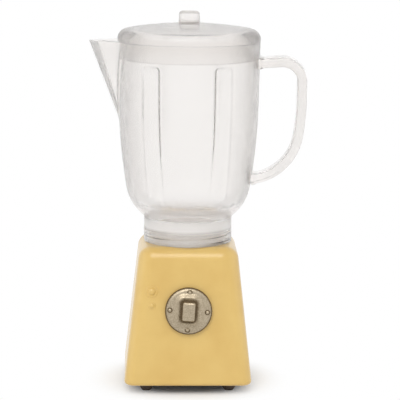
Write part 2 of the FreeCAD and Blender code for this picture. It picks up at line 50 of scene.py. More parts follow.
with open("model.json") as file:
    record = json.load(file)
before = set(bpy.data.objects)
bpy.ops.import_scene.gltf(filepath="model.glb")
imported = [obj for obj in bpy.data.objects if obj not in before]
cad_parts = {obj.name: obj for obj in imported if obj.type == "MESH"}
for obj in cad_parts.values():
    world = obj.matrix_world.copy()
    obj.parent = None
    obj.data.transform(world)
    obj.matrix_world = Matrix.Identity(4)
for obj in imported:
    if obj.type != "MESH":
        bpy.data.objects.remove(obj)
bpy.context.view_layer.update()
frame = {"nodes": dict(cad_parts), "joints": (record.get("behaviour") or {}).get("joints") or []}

MM = 0.001
FULL_TURN = 2 * math.pi
QUARTER_TURN = math.pi / 2
WHITE = (1.0, 1.0, 1.0, 1.0)
FINE_CAP = 0.2 * MM     # radius of the last ring round a pole, on the dial and the lid
CAP = 0.3 * MM          # and on the jug and the spigot


# ---------------------------------------------------------------- places read from the frame
def lowest(node):
    """Lowest corner of a node's box."""
    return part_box(node)[0]


def highest(node):
    """Highest corner of a node's box."""
    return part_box(node)[1]


BASE_TOP = highest("base_housing").z
RIM = highest("jug").z
LID_RADIUS = (highest("lid").x - lowest("lid").x) / 2
SKIRT_LOW = lowest("lid").z
KNOB_TOP = highest("lid").z
SPIGOT_TOP = highest("jug_spigot").z
FLANGE_LOW = lowest("jug_spigot").z
FLANGE_HALF = highest("jug_spigot").x
DIAL_JOINT = next(joint for joint in frame["joints"] if joint["name"] == "dial_turn")


def linear(hex_code):
    """Linear colour with alpha 1 from an sRGB hex code."""
    channels = [int(hex_code[start:start + 2], 16) / 255 for start in (1, 3, 5)]
    return [
        value / 12.92 if value <= 0.04045 else ((value + 0.055) / 1.055) ** 2.4
        for value in channels
    ] + [1.0]


def size(name, description, millimetres):
    """Length property in metres with a default in millimetres."""
    return FloatProperty(
        name=name, description=description, default=millimetres * MM,
        unit="LENGTH", subtype="DISTANCE", precision=5,
    )


def angle(name, description, degrees):
    """Angle property with a default in degrees."""
    return FloatProperty(
        name=name, description=description, default=math.radians(degrees),
        unit="ROTATION", subtype="ANGLE",
    )


def colour(name, description, hex_code):
    """Colour property with an sRGB hex default."""
    return FloatVectorProperty(
        name=name, description=description, default=linear(hex_code),
        subtype="COLOR", size=4, min=0.0, max=1.0,
    )


# ---------------------------------------------------------------- settings
class FinishColours(bpy.types.PropertyGroup):
    """Colours of the finishes."""

    enamel: colour("Enamel", "Stoved enamel on the housing", "#DAB86B")
    enamel_thin: colour("Thin enamel", "Enamel where it lies thin", "#D3AE60")
    pewter: colour("Pewter", "Rubbed high parts of the dial", "#BEB098")
    # Patina in the dial's hollows, and also painted shade on the disc's rounded edge and side.
    patina: colour("Patina", "Darkened recesses of the dial", "#6E5E47")
    clear: colour("Clear plastic", "Tint of the jug and lid", "#FEFDFC")
    natural: colour("Natural plastic", "Tint of the threaded spigot", "#EAE6E1")
    rubber: colour("Rubber", "Feet", "#3A2E26")
    plate: colour("Plate", "Bottom plate", "#2E2B28")
    steel: colour("Steel", "Screws, washer and retainer", "#A9A69F")


class DialSizes(bpy.types.PropertyGroup):
    """Sizes of the dial's casting, along and across its own face."""

    thickness: size("Thickness", "Back of the disc to its face", 1.1)
    gap: size("Gap", "Housing to the back of the disc", 0.05)
    radius: size("Radius", "Edge of the disc", 4.95)
    edge_in: size("Edge, inwards", "Width of the rounded edge", 0.9)
    edge_down: size("Edge, down", "Depth of the rounded edge", 0.5)
    rest_turn: angle("Turn at rest", "Turn of the dial about its normal", -3.5)
    grip_half_width: size("Grip half width", "Half the grip, across", 1.325)
    grip_half_length: size("Grip half length", "Half the grip, along", 1.975)
    grip_corner: size("Grip corner", "Corner radius of the grip", 0.4)
    grip_rise: size("Grip rise", "Grip above the disc's face", 1.5)
    grip_edge: size("Grip edge", "Edge radius of the grip's top", 0.4)
    collar_rise: size("Collar rise", "Raised collar round the grip", 0.46)
    collar_reach: size("Collar reach", "Grip to the collar's outer foot", 1.75)
    rivet_circle: size("Rivet circle", "Radius of the ring of rivets", 3.95)
    rivet_radius: size("Rivet radius", "Radius of a rivet head", 0.42)
    rivet_rise: size("Rivet rise", "Rivet head above the face", 0.3)
    spindle_radius: size("Spindle radius", "Spindle through the housing", 1.2)
    spindle_length: size("Spindle length", "Housing's face to the spindle's end", 3.3)


class JugSizes(bpy.types.PropertyGroup):
    """Sizes of the jug's moulding."""

    rest_turn: angle("Turn at rest", "Turn of the jug where its thread stops", -3.0)
    wall: size("Wall", "Thickness of the bowl's wall", 1.2)
    neck_radius: size("Neck radius", "Outside of the neck", 9.4)
    neck_wall: size("Neck wall", "Thickness of the neck", 0.85)
    floor_height: size("Floor height", "Base's top to the jug's inner floor", 6.6)
    floor_thickness: size("Floor thickness", "Thickness of the jug's floor", 1.2)
    belly_radius: size("Belly radius", "Where the straight side meets the long curve", 14.9)
    belly_height: size("Belly height", "Base's top to the belly", 30.0)
    side_radius: size("Side radius", "Long curve below the belly", 122.0)
    bottom_height: size("Bottom height", "Base's top to where the bottom's curve starts", 11.7)
    bottom_radius: size("Bottom radius", "Curve of the bowl's bottom", 9.8)
    rim_radius: size("Rim radius", "Outside at the rim", 15.1)
    rim_round: size("Rim round", "Rounding of the rim's edges", 0.22)
    flute_azimuth: angle("Flute azimuth", "From the front and from the back", 31.5)
    flute_half_width: size("Flute half width", "Half a flute, across", 1.7)
    flute_depth: size("Flute depth", "Depth of a flute", 0.35)
    flute_edge: size("Flute edge", "Width of a flute's slope", 0.75)
    flute_top_gap: size("Flute top gap", "Lid's skirt to a flute's top", 0.7)
    flute_end_height: size("Flute end", "Base's top to where a flute runs out", 8.3)
    flute_top_corner: size("Flute corner", "Corner radius of a flute's top", 0.9)
    spout_reach: size("Spout reach", "Axis to the spout's tip", 21.2)
    spout_half_angle: angle("Spout half angle", "Each side of the V, from above", 39.0)
    spout_drop: size("Spout drop", "Rim to where the spout leaves the wall", 16.3)
    spout_wall: size("Spout wall", "Thickness of the spout's sides", 1.15)
    spout_blend: size("Spout blend", "Rounding between spout and bowl", 0.5)
    thread_pitch: size("Thread pitch", "Pitch of the neck's thread", 1.45)
    thread_depth: size("Thread depth", "Depth of the neck's inner thread", 0.2)


class HandleSizes(bpy.types.PropertyGroup):
    """Sizes of the handle's strap."""

    reach: size("Reach", "Axis to the strap's outer face", 25.0)
    thickness: size("Thickness", "Strap, in the plane of its loop", 2.0)
    depth_high: size("Depth above", "Strap's width at its top run", 6.9)
    depth_low: size("Depth below", "Strap's width at its lower end", 5.0)
    top_drop: size("Top drop", "Rim to the strap's top face", 3.1)
    top_slope: angle("Top slope", "Fall of the top run towards the wall", 4.0)
    corner_radius: size("Corner radius", "Outer radius of the top corner", 5.2)
    bow_radius: size("Bow radius", "Outer radius of the faint bow above the sweep", 53.0)
    bow_drop: size("Bow drop", "Rim to where the bow starts", 11.6)
    sweep_radius: size("Sweep radius", "Outer radius of the lower sweep", 12.1)
    sweep_drop: size("Sweep drop", "Rim to the centre of the lower sweep", 18.2)
    edge_radius: size("Edge radius", "Rounding of the strap's edges", 0.62)
    weld_flare: size("Weld flare", "Swelling where the strap meets the wall", 0.2)


class LidSizes(bpy.types.PropertyGroup):
    """Sizes of the lid's moulding."""

    edge_height: size("Edge height", "Flange's underside to the shoulder", 2.15)
    crown: size("Crown", "Rise from the shoulder to the middle", 1.5)
    shoulder_radius: size("Shoulder radius", "Rounding of the shoulder", 2.0)
    wall: size("Wall", "Thickness of the top", 1.15)
    skirt_wall: size("Skirt wall", "Thickness of the skirt", 1.05)
    skirt_gap: size("Skirt gap", "Skirt to the jug's inner wall", 0.15)
    knob_foot_radius: size("Knob foot", "Radius of the knob at its foot", 2.3)
    knob_top_radius: size("Knob top", "Radius of the knob at its top", 2.12)
    knob_edge_radius: size("Knob edge", "Rounding of the knob's top", 0.62)


class SpigotSizes(bpy.types.PropertyGroup):
    """Sizes of the threaded spigot."""

    crest_radius: size("Crest radius", "Over the thread's crests", 8.28)
    thread_depth: size("Thread depth", "Crest to root", 0.34)
    wall: size("Wall", "Thickness of the cup", 1.2)
    flange_thickness: size("Flange thickness", "Flange under the base's top", 1.0)
    flange_corner: size("Flange corner", "Corner radius of the flange", 2.0)


class StageSettings(bpy.types.PropertyGroup):
    """Camera, light and floor."""

    distance: size("Distance", "Camera to the point that it looks at", 402.6)
    elevation: angle("Elevation", "Camera above the horizon", 9.96)
    azimuth: angle("Azimuth", "Camera round the object, to the right", -2.0)
    roll: angle("Roll", "Camera about its own axis", 0.53)
    aim_x: size("Aim X", "Point looked at, sideways", 2.6)
    aim_z: size("Aim Z", "Point looked at, height", 39.52)
    lens_mm: FloatProperty(
        name="Lens", description="Focal length on a 36 mm sensor", default=168.84,
        unit="CAMERA", subtype="DISTANCE_CAMERA",
    )
    world_level: FloatProperty(
        name="World level", description="Plain light from all round", default=0.76, min=0.0,
    )
    key_power: FloatProperty(
        name="Key power", description="Soft box above the front", default=1.85, min=0.0, unit="POWER",
    )
    fill_power: FloatProperty(
        name="Fill power", description="Soft boxes at the sides", default=0.3, min=0.0, unit="POWER",
    )
    floor: colour("Floor", "Floor and backdrop", "#F8F8F8")


# ---------------------------------------------------------------- node and mesh helpers
def add_node(tree, kind, inputs=None, stops=None, **settings):
    """Add a node; inputs maps a socket to a value, an output or a node, for its first output."""
    node = tree.nodes.new(kind)
    for name, value in settings.items():
        setattr(node, name, value)
    for socket, value in (inputs or {}).items():
        if isinstance(value, bpy.types.Node):
            value = next(output for output in value.outputs if output.enabled)
        if isinstance(value, bpy.types.NodeSocket):
            tree.links.new(value, node.inputs[socket])
        else:
            node.inputs[socket].default_value = value
    for index, (position, shade) in enumerate(stops or []):
        elements = node.color_ramp.elements
        element = elements[index] if index < 2 else elements.new(position)
        element.position = position
        element.color = shade
    return node


def new_material(name):
    """Empty node material, its tree, and an output that gives each point's place."""
    material = bpy.data.materials.new(name)
    material.use_nodes = True
    tree = material.node_tree
    tree.nodes.clear()
    return material, tree, add_node(tree, "ShaderNodeTexCoord").outputs["Object"]


def shared(make):
    """Material that a function makes, made once; it has the function's name."""
    return bpy.data.materials.get(make.__name__) or make(bpy.context.scene.blender_colours)


def per_metre(millimetres):
    """Texture scale whose pattern repeats about once in a real size."""
    return 1.0 / (millimetres * MM)


def grey(level):
    """Opaque grey for a ramp's stop."""
    return (level, level, level, 1.0)


def new_object(name, data):
    """Object that holds the data, in the scene."""
    made = bpy.data.objects.new(name, data)
    bpy.context.scene.collection.objects.link(made)
    return made


def shares(count):
    """Shares of a whole, from 1 / count up to 1."""
    return [part / count for part in range(1, count + 1)]


def quarter_bends(count):
    """Angles of a quarter turn, from 0 to 90 degrees, in equal steps."""
    return [QUARTER_TURN * part / count for part in range(count + 1)]


def spokes(columns):
    """Unit directions, as (x, y), evenly round the Z axis."""
    turns = [FULL_TURN * step / columns for step in range(columns)]
    return [(math.cos(turn), math.sin(turn)) for turn in turns]


def polar(reach, azimuth, height):
    """Point at a radius and an azimuth round the Z axis, and at a height."""
    return Vector((reach * math.cos(azimuth), reach * math.sin(azimuth), height))


def solid_from_rings(name, rings, low_pole, high_pole):
    """Closed smooth mesh through equal rings of points, closed by a pole at each end."""
    count = len(rings[0])
    points = [low_pole] + [point for ring in rings for point in ring] + [high_pole]
    faces = [(0, 1 + (step + 1) % count, 1 + step) for step in range(count)]
    for row in range(len(rings) - 1):
        near, far = 1 + row * count, 1 + (row + 1) * count
        for step in range(count):
            after = (step + 1) % count
            faces.append((near + step, near + after, far + after, far + step))
    last, end = 1 + (len(rings) - 1) * count, len(points) - 1
    faces += [(end, last + step, last + (step + 1) % count) for step in range(count)]
    mesh = bpy.data.meshes.new(name)
    mesh.from_pydata([tuple(point) for point in points], [], faces)
    work = bmesh.new()
    work.from_mesh(mesh)
    bmesh.ops.recalc_face_normals(work, faces=work.faces)
    work.to_mesh(mesh)
    work.free()
    mesh.polygons.foreach_set("use_smooth", [True] * len(mesh.polygons))
    return new_object(name, mesh)


def outline(corners, step, arc_steps=6):
    """Points along straight runs, with an arc at each corner that has a radius.

    corners are (across, up, radius); the two ends have radius 0, and a corner that is straight
    within about a degree stays as it is. Runs are divided at about step.
    """
    spots = [Vector((across, up)) for across, up, radius in corners]
    runs = [spots[0]]
    for index in range(1, len(corners) - 1):
        radius = corners[index][2]
        here = spots[index]
        before, after = (spots[index - 1] - here).normalized(), (spots[index + 1] - here).normalized()
        half = before.angle(after) / 2
        if radius <= 0 or half > QUARTER_TURN - 0.01:
            runs.append(here)
            continue
        reach = radius / math.tan(half)
        start, stop = here + before * reach, here + after * reach
        centre = here + (before + after).normalized() * (radius / math.sin(half))
        sweep = (start - centre).angle_signed(stop - centre)
        for part in range(arc_steps + 1):
            spoke = start - centre
            spoke.rotate(Matrix.Rotation(-sweep * part / arc_steps, 2))
            runs.append(centre + spoke)
    runs.append(spots[-1])
    points = [runs[0]]
    for near, far in zip(runs, runs[1:]):
        parts = max(1, round((far - near).length / step))
        points += [near.lerp(far, part / parts) for part in range(1, parts + 1)]
    return points


def turned_rings(points, columns):
    """Rings round the Z axis through (across, up) points."""
    directions = spokes(columns)
    return [
        [Vector((x * point.x, y * point.x, point.y)) for x, y in directions] for point in points
    ]


def smooth_step(low, high, value):
    """0 below low, 1 above high, smooth between."""
    share = min(1.0, max(0.0, (value - low) / (high - low)))
    return share * share * (3 - 2 * share)


def finish_piece(piece, finish, body, nodes):
    """Give a new piece its finish, body, slot and the nodes it stands for."""
    piece.data.materials.append(shared(finish))
    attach(piece, body)
    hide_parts(*nodes)


def dress_node(node, finish):
    """Put a finish on a node's own slots."""
    for slot in frame["nodes"][node].material_slots:
        slot.material = shared(finish)


# ---------------------------------------------------------------- finishes
def mottled(name, tones, grain, shading, gloss=None, relief=None):
    """Material that wanders between two tones at a real grain size.

    grain is the pattern's size in mm, its detail and its roughness, shading the shader's own
    inputs, gloss the lowest and the highest roughness, relief the bump's strength and mm.
    """
    material, tree, place = new_material(name)
    patches = add_node(tree, "ShaderNodeTexNoise", {
        "Vector": place, "Scale": per_metre(grain[0]), "Detail": grain[1], "Roughness": grain[2],
    })
    tone = add_node(
        tree, "ShaderNodeMix", {"Factor": patches, "A": tones[0], "B": tones[1]}, data_type="RGBA"
    )
    inputs = {"Base Color": tone, **shading}
    if gloss:
        inputs["Roughness"] = add_node(
            tree, "ShaderNodeMapRange", {"Value": patches, "To Min": gloss[0], "To Max": gloss[1]}
        )
    if relief:
        inputs["Normal"] = add_node(tree, "ShaderNodeBump", {
            "Height": patches, "Strength": relief[0], "Distance": relief[1] * MM,
        })
    shader = add_node(tree, "ShaderNodeBsdfPrincipled", inputs)
    add_node(tree, "ShaderNodeOutputMaterial", {"Surface": shader})
    return material


def stoved_enamel_on_die_cast_zinc(colours):
    """Stoved enamel on die-cast zinc: soft gloss, faint orange peel, cloudy where it lies thin."""
    material, tree, place = new_material("stoved_enamel_on_die_cast_zinc")
    cloud, peel, pits = [
        add_node(tree, "ShaderNodeTexNoise", {
            "Vector": place, "Scale": per_metre(grain_mm), "Detail": detail,
        })
        for grain_mm, detail in ((7.0, 3.0), (0.55, 1.0), (0.18, 1.0))
    ]
    stops = [(0.25, colours.enamel_thin), (0.62, colours.enamel)]
    tone = add_node(tree, "ShaderNodeValToRGB", {"Fac": cloud}, stops)
    bump = add_node(tree, "ShaderNodeBump", {"Height": peel, "Strength": 0.12, "Distance": 0.02 * MM})
    rough = add_node(tree, "ShaderNodeMapRange", {"Value": pits, "To Min": 0.24, "To Max": 0.36})
    shader = add_node(tree, "ShaderNodeBsdfPrincipled", {
        "Base Color": tone, "Roughness": rough, "Normal": bump, "IOR": 1.5,
        "Specular IOR Level": 0.4, "Coat Weight": 0.5, "Coat Roughness": 0.16, "Coat IOR": 1.5,
    })
    add_node(tree, "ShaderNodeOutputMaterial", {"Surface": shader})
    return material


def antiqued_cast_pewter(colours):
    """Sand-cast pewter, darkened and rubbed back: fine grain, dark recesses, and painted shade at the
    disc's edge.
    """
    # The sand's grain is about 0.1 mm, and is drawn at 0.25 mm so that it shows.
    material, tree, place = new_material("antiqued_cast_pewter")
    # This point value carries the patina in the dial's hollows and the painted shade on the disc's
    # edge and side.
    patina_and_shade = add_node(tree, "ShaderNodeAttribute", attribute_name="patina_and_shade").outputs["Fac"]
    grain, blotch = [
        add_node(tree, "ShaderNodeTexNoise", {
            "Vector": place, "Scale": per_metre(grain_mm), "Detail": 2.0, "Roughness": roughness,
        })
        for grain_mm, roughness in ((0.25, 0.6), (1.6, 0.5))
    ]
    sand = add_node(tree, "ShaderNodeMapRange", {
        "Value": grain, "From Min": 0.38, "From Max": 0.66, "To Min": 0.0, "To Max": 0.38,
    })
    dark = add_node(tree, "ShaderNodeMath", {0: blotch, 1: 0.3, 2: sand}, operation="MULTIPLY_ADD")
    dark = add_node(tree, "ShaderNodeMath", {0: dark, 1: 0.12}, operation="SUBTRACT")
    dark = add_node(tree, "ShaderNodeMath", {0: patina_and_shade, 1: dark}, operation="ADD", use_clamp=True)
    tone = add_node(
        tree, "ShaderNodeMix", {"Factor": dark, "A": colours.pewter, "B": colours.patina},
        data_type="RGBA",
    )
    rough = add_node(tree, "ShaderNodeMapRange", {"Value": dark, "To Min": 0.34, "To Max": 0.62})
    bump = add_node(tree, "ShaderNodeBump", {"Height": grain, "Strength": 0.6, "Distance": 0.04 * MM})
    shader = add_node(tree, "ShaderNodeBsdfPrincipled", {
        "Base Color": tone, "Metallic": 1.0, "Roughness": rough, "Normal": bump,
    })
    add_node(tree, "ShaderNodeOutputMaterial", {"Surface": shader})
    return material


# Where the clear plastic changes; heights, radii and X are in the model's frame.
RIDGE_SLOPE = 0.29          # how far the solid ridge of the spout leans out for each step up
RIDGE_SOLID = 19.5 * MM     # distance from the axis at the rim where the ridge is solid
RIDGE_HOLLOW = 18.9 * MM    # and where it has turned into the spout's two walls
SPOUT_LOW = 57.5 * MM       # height where the ridge leaves the bowl
STRAP_START = 15.5 * MM     # X where the strap leaves the bowl
STRAP_FULL = 19.5 * MM      # X from which the strap has its full milkiness
NECK_ZONE = 10 * MM         # height above the base's top that the neck's ramps cover
NECK_SKIN = 9.1 * MM        # radius beyond the neck's inner wall
BOWL_SKIN = 15.4 * MM       # radius that holds the bowl and the lid, not the spout or the strap
NECK_HAZE, RIDGE_HAZE, STRAP_HAZE = 0.42, 0.3, 0.2      # milky shares
FLOOR_STRAIGHT, BOWL_STRAIGHT = 0.75, 0.09              # shares of light that go straight through


def hazy_share(tree, axes, radius, climb):
    """Milky share of the clear plastic: on the neck's skin, the spout's ridge and the strap."""
    # The ramps' places are shares of NECK_ZONE above the base's top.
    neck = add_node(tree, "ShaderNodeValToRGB", {"Fac": climb}, [
        (0.24, grey(0.12)), (0.34, grey(NECK_HAZE)), (0.50, grey(NECK_HAZE)), (0.58, grey(0.0)),
    ])
    skin = add_node(tree, "ShaderNodeMath", {0: radius, 1: NECK_SKIN}, operation="GREATER_THAN")
    neck = add_node(tree, "ShaderNodeMath", {0: neck, 1: skin}, operation="MULTIPLY")
    lean = add_node(
        tree, "ShaderNodeMath", {0: axes["Z"], 1: RIDGE_SLOPE, 2: axes["X"]},
        operation="MULTIPLY_ADD",
    )
    ridge = add_node(tree, "ShaderNodeMapRange", {
        "Value": lean, "From Min": RIDGE_SLOPE * RIM - RIDGE_SOLID,
        "From Max": RIDGE_SLOPE * RIM - RIDGE_HOLLOW, "To Min": RIDGE_HAZE, "To Max": 0.0,
    })
    high = add_node(tree, "ShaderNodeMath", {0: axes["Z"], 1: SPOUT_LOW}, operation="GREATER_THAN")
    haze = add_node(
        tree, "ShaderNodeMix", {"Factor": high, "A": neck, "B": ridge}, data_type="FLOAT"
    )
    strap = add_node(tree, "ShaderNodeMapRange", {
        "Value": axes["X"], "From Min": STRAP_START, "From Max": STRAP_FULL,
        "To Min": 0.0, "To Max": STRAP_HAZE,
    })
    return add_node(tree, "ShaderNodeMath", {0: haze, 1: strap}, operation="MAXIMUM")


def injection_moulded_clear_polystyrene(colours):
    """Injection-moulded clear polystyrene: bright edges, faint flow waves, milky where thick."""
    # The index of refraction is below the real 1.59, and a share of the light goes straight
    # through, because thick clear pieces would otherwise come out dark.
    material, tree, place = new_material("injection_moulded_clear_polystyrene")
    stretched, flat = [
        add_node(tree, "ShaderNodeMapping", {"Vector": place, "Scale": (1.0, 1.0, upwards)})
        for upwards in (0.25, 0.0)
    ]
    flow, cloud = [
        add_node(tree, "ShaderNodeTexNoise", {
            "Vector": where, "Scale": per_metre(grain_mm), "Detail": 2.0,
        })
        for where, grain_mm in ((stretched, 5.0), (place, 2.5))
    ]
    bump = add_node(tree, "ShaderNodeBump", {"Height": flow, "Strength": 0.06, "Distance": 0.1 * MM})
    rough = add_node(tree, "ShaderNodeMapRange", {"Value": cloud, "To Min": 0.18, "To Max": 0.25})
    clear = add_node(tree, "ShaderNodeBsdfPrincipled", {
        "Base Color": colours.clear, "Transmission Weight": 0.97, "IOR": 1.36,
        "Roughness": rough, "Normal": bump,
    })
    axes = add_node(tree, "ShaderNodeSeparateXYZ", {0: place}).outputs
    climb = add_node(tree, "ShaderNodeMapRange", {
        "Value": axes["Z"], "From Min": BASE_TOP, "From Max": BASE_TOP + NECK_ZONE,
    })
    radius = add_node(tree, "ShaderNodeVectorMath", {0: flat}, operation="LENGTH")
    thin = add_node(tree, "ShaderNodeValToRGB", {"Fac": climb}, [
        (0.42, grey(0.0)), (0.50, grey(FLOOR_STRAIGHT)), (0.72, grey(FLOOR_STRAIGHT)),
        (0.90, grey(BOWL_STRAIGHT)),
    ])
    bowl = add_node(tree, "ShaderNodeMath", {0: radius, 1: BOWL_SKIN}, operation="LESS_THAN")
    thin = add_node(tree, "ShaderNodeMath", {0: thin, 1: bowl}, operation="MULTIPLY")
    straight = add_node(tree, "ShaderNodeBsdfTransparent", {"Color": WHITE})
    thinned = add_node(tree, "ShaderNodeMixShader", {0: thin, 1: clear, 2: straight})
    milk = add_node(tree, "ShaderNodeBsdfDiffuse", {"Color": colours.clear})
    haze = hazy_share(tree, axes, radius, climb)
    both = add_node(tree, "ShaderNodeMixShader", {0: haze, 1: thinned, 2: milk})
    depth = add_node(
        tree, "ShaderNodeVolumeAbsorption", {"Color": linear("#C2AA96"), "Density": 32.0}
    )
    add_node(tree, "ShaderNodeOutputMaterial", {"Surface": both, "Volume": depth})
    return material


def injection_moulded_natural_polypropylene(colours):
    """Injection-moulded natural polypropylene: milky and waxy, and opaque where it is this thick."""
    return mottled(
        "injection_moulded_natural_polypropylene", (colours.natural, linear("#DFD9D3")),
        grain=(1.6, 3.0, 0.5), shading={"IOR": 1.49}, gloss=(0.25, 0.45),
    )


def moulded_nitrile_rubber(colours):
    """Compression-moulded rubber: dark, matt, faintly dusty."""
    return mottled(
        "moulded_nitrile_rubber", (colours.rubber, linear("#5A4C40")),
        grain=(0.5, 4.0, 0.5), shading={"Roughness": 0.68, "IOR": 1.52}, relief=(0.3, 0.02),
    )


def spark_textured_moulded_abs(colours):
    """Spark-eroded black ABS: fine matt texture all over."""
    # The sparks' pits are under 0.1 mm, and are drawn at 0.3 mm so that they show.
    return mottled(
        "spark_textured_moulded_abs", (colours.plate, linear("#3B3733")),
        grain=(0.3, 3.0, 0.7), shading={"Roughness": 0.55, "IOR": 1.53}, relief=(0.5, 0.03),
    )


def zinc_plated_turned_steel(colours):
    """Turned steel with bright zinc plating: a soft metal gloss in cloudy patches."""
    return mottled(
        "zinc_plated_turned_steel", (colours.steel, linear("#8C8A86")),
        grain=(0.6, 3.0, 0.5), shading={"Metallic": 1.0}, gloss=(0.25, 0.45),
    )


# ---------------------------------------------------------------- dial
DIAL_COLUMNS = 360
LEAST_CORNER = 0.05 * MM    # corner radius of the grip's innermost rings
GRIP_DRAFT = 0.07 * MM      # how much the grip widens from its top edge to its foot
COLLAR_CREST = 0.43         # the collar's crest, as a share of its reach
COLLAR_INNER = 0.66         # its height at the grip's foot, as a share of its rise
RIVET_GROOVE = 0.05 * MM    # depth of the groove round a rivet head
DISC_BACK_EDGE = 0.1 * MM
SPINDLE_EDGE = 0.15 * MM


def rectangle_reach(direction, half_width, half_length, corner):
    """Distance from the centre of a round-cornered rectangle to its edge, in one direction."""
    across, along = abs(direction[0]), abs(direction[1])
    if across > 1e-9 and half_width * along / across <= half_length - corner:
        return half_width / across
    if along > 1e-9 and half_length * across / along <= half_width - corner:
        return half_length / along
    centre = Vector((half_width - corner, half_length - corner))
    reach = Vector((across, along)).dot(centre)
    return reach + math.sqrt(reach * reach - centre.length_squared + corner * corner)


def dial_frame(sizes):
    """Matrix from the dial's own frame (Z outwards, Y up the face) to the model's frame."""
    normal = Vector(DIAL_JOINT["axis"]).normalized()
    if normal.y > 0:
        normal = -normal
    across = Vector((0, 0, 1)).cross(normal).normalized()
    place = Matrix((across, normal.cross(across), normal)).transposed().to_4x4()
    place.translation = Vector(DIAL_JOINT["pos_m"])
    return place @ Matrix.Rotation(sizes.rest_turn, 4, "Z")


def collar_height(beyond, sizes):
    """Height of the raised collar at a distance from the grip's foot."""
    foot = sizes.collar_reach
    crest = COLLAR_CREST * foot
    if beyond < crest:
        climb = smooth_step(0.05 * foot, crest, beyond)
        return sizes.collar_rise * (COLLAR_INNER + (1 - COLLAR_INNER) * climb)
    return sizes.collar_rise * (1 - smooth_step(crest, foot, beyond))


def rivet_height(across, along, sizes):
    """Height and recess of the four rivet heads at a point of the disc's face."""
    reach = sizes.rivet_circle
    centres = ((reach, 0.0), (0.0, reach), (-reach, 0.0), (0.0, -reach))
    away = min(math.hypot(across - x, along - y) for x, y in centres) / sizes.rivet_radius
    dome = sizes.rivet_rise * math.sqrt(max(0.0, 1 - away * away))
    groove = RIVET_GROOVE * math.exp(-(((away - 1.15) / 0.16) ** 2))
    return dome - groove, math.exp(-(((away - 1.1) / 0.25) ** 2))


def dial_rings(sizes):
    """Rings of the dial from the grip's top to the spindle's end, each point with its patina and
    painted shade value.
    """
    face = sizes.gap + sizes.thickness
    top = face + sizes.grip_rise
    directions = spokes(DIAL_COLUMNS)

    def grip_ring(offset, height, patina_and_shade, share=1.0):
        """Ring round the grip, moved out by offset and then drawn in to a share."""
        half_width, half_length = sizes.grip_half_width + offset, sizes.grip_half_length + offset
        corner = max(LEAST_CORNER, sizes.grip_corner + offset)
        ring = []
        for x, y in directions:
            reach = share * rectangle_reach((x, y), half_width, half_length, corner)
            ring.append((Vector((x * reach, y * reach, height)), patina_and_shade))
        return ring

    def face_ring(reaches, drop, least_patina_and_shade):
        """Ring of the disc at these radii, with the rivet heads."""
        ring = []
        for (x, y), reach in zip(directions, reaches):
            rise, patina_and_shade = rivet_height(x * reach, y * reach, sizes)
            point = Vector((x * reach, y * reach, face + rise - drop))
            ring.append((point, max(patina_and_shade, least_patina_and_shade)))
        return ring

    edge = sizes.grip_edge
    rings = [grip_ring(-edge, top, 0.0, share) for share in (0.2, 0.4, 0.6, 0.8, 0.95)]
    for bend in quarter_bends(6):
        rings.append(grip_ring(-edge + edge * math.sin(bend), top - edge * (1 - math.cos(bend)), 0.0))
    # The values darken the grip's foot, the collar and the rivets' grooves with patina, and the
    # disc's rounded edge, side and back with painted shade, a contact shadow where the disc meets the
    # housing.
    foot = face + collar_height(0.0, sizes)
    for share in shares(8):
        height = (top - edge) * (1 - share) + foot * share
        rings.append(grip_ring(GRIP_DRAFT * share, height, smooth_step(0.3, 0.9, share)))
    for share in shares(16):
        beyond = sizes.collar_reach * share
        patina_and_shade = max(0.0, 1 - share / 0.6) ** 1.2
        rings.append(grip_ring(GRIP_DRAFT + beyond, face + collar_height(beyond, sizes), patina_and_shade))
    collar = [math.hypot(point.x, point.y) for point, patina_and_shade in rings[-1]]
    flat_radius = sizes.radius - sizes.edge_in
    for share in shares(40):
        reaches = [near * (1 - share) + flat_radius * share for near in collar]
        rings.append(face_ring(reaches, 0.0, 0.12 * (1 - smooth_step(0.0, 0.3, share))))
    # The outer part of the rounded edge is darkened: painted shade, standing for the contact shadow
    # against the housing.
    for share in shares(10):
        bend = QUARTER_TURN * share
        reach = flat_radius + sizes.edge_in * math.sin(bend)
        drop = sizes.edge_down * (1 - math.cos(bend))
        rings.append(face_ring([reach] * DIAL_COLUMNS, drop, 0.9 * smooth_step(0.35, 0.7, share)))
    back = outline([
        (sizes.radius, face - sizes.edge_down, 0.0), (sizes.radius, sizes.gap, DISC_BACK_EDGE),
        (sizes.spindle_radius, sizes.gap, DISC_BACK_EDGE),
        (sizes.spindle_radius, -sizes.spindle_length, SPINDLE_EDGE),
        (FINE_CAP, -sizes.spindle_length, 0.0),
    ], step=0.5 * MM)
    # The disc's side and back and the spindle are fully darkened; on the visible side this is painted
    # shade.
    for ring in turned_rings(back[1:], DIAL_COLUMNS):
        rings.append([(point, 1.0) for point in ring])
    return rings, top


def build_dial(sizes):
    """Mesh of the dial with a patina and painted shade value at each point."""
    rings, top = dial_rings(sizes)
    place = dial_frame(sizes)
    dial = solid_from_rings(
        "dial_casting", [[place @ point for point, patina_and_shade in ring] for ring in rings],
        place @ Vector((0, 0, top)), place @ Vector((0, 0, -sizes.spindle_length)),
    )
    layer = dial.data.attributes.new("patina_and_shade", "FLOAT", "POINT")
    patina_and_shade_values = [0.0] + [patina_and_shade for ring in rings for point, patina_and_shade in ring] + [1.0]
    layer.data.foreach_set("value", patina_and_shade_values)
    return dial


# ---------------------------------------------------------------- jug
WALL_STEP = math.radians(1.5)       # between the jug's columns
FLUTE_STEP = math.radians(0.26)     # between those beside a flute's edge
RIDGE_STEP = math.radians(0.35)     # between those beside the spout's ridge
LEAST_STEP = math.radians(0.12)     # columns closer than this become one
# Columns run parallel to a flute up to the first angle from it, and radially past the second.
FLUTE_FIELD = (math.radians(9), math.radians(16))
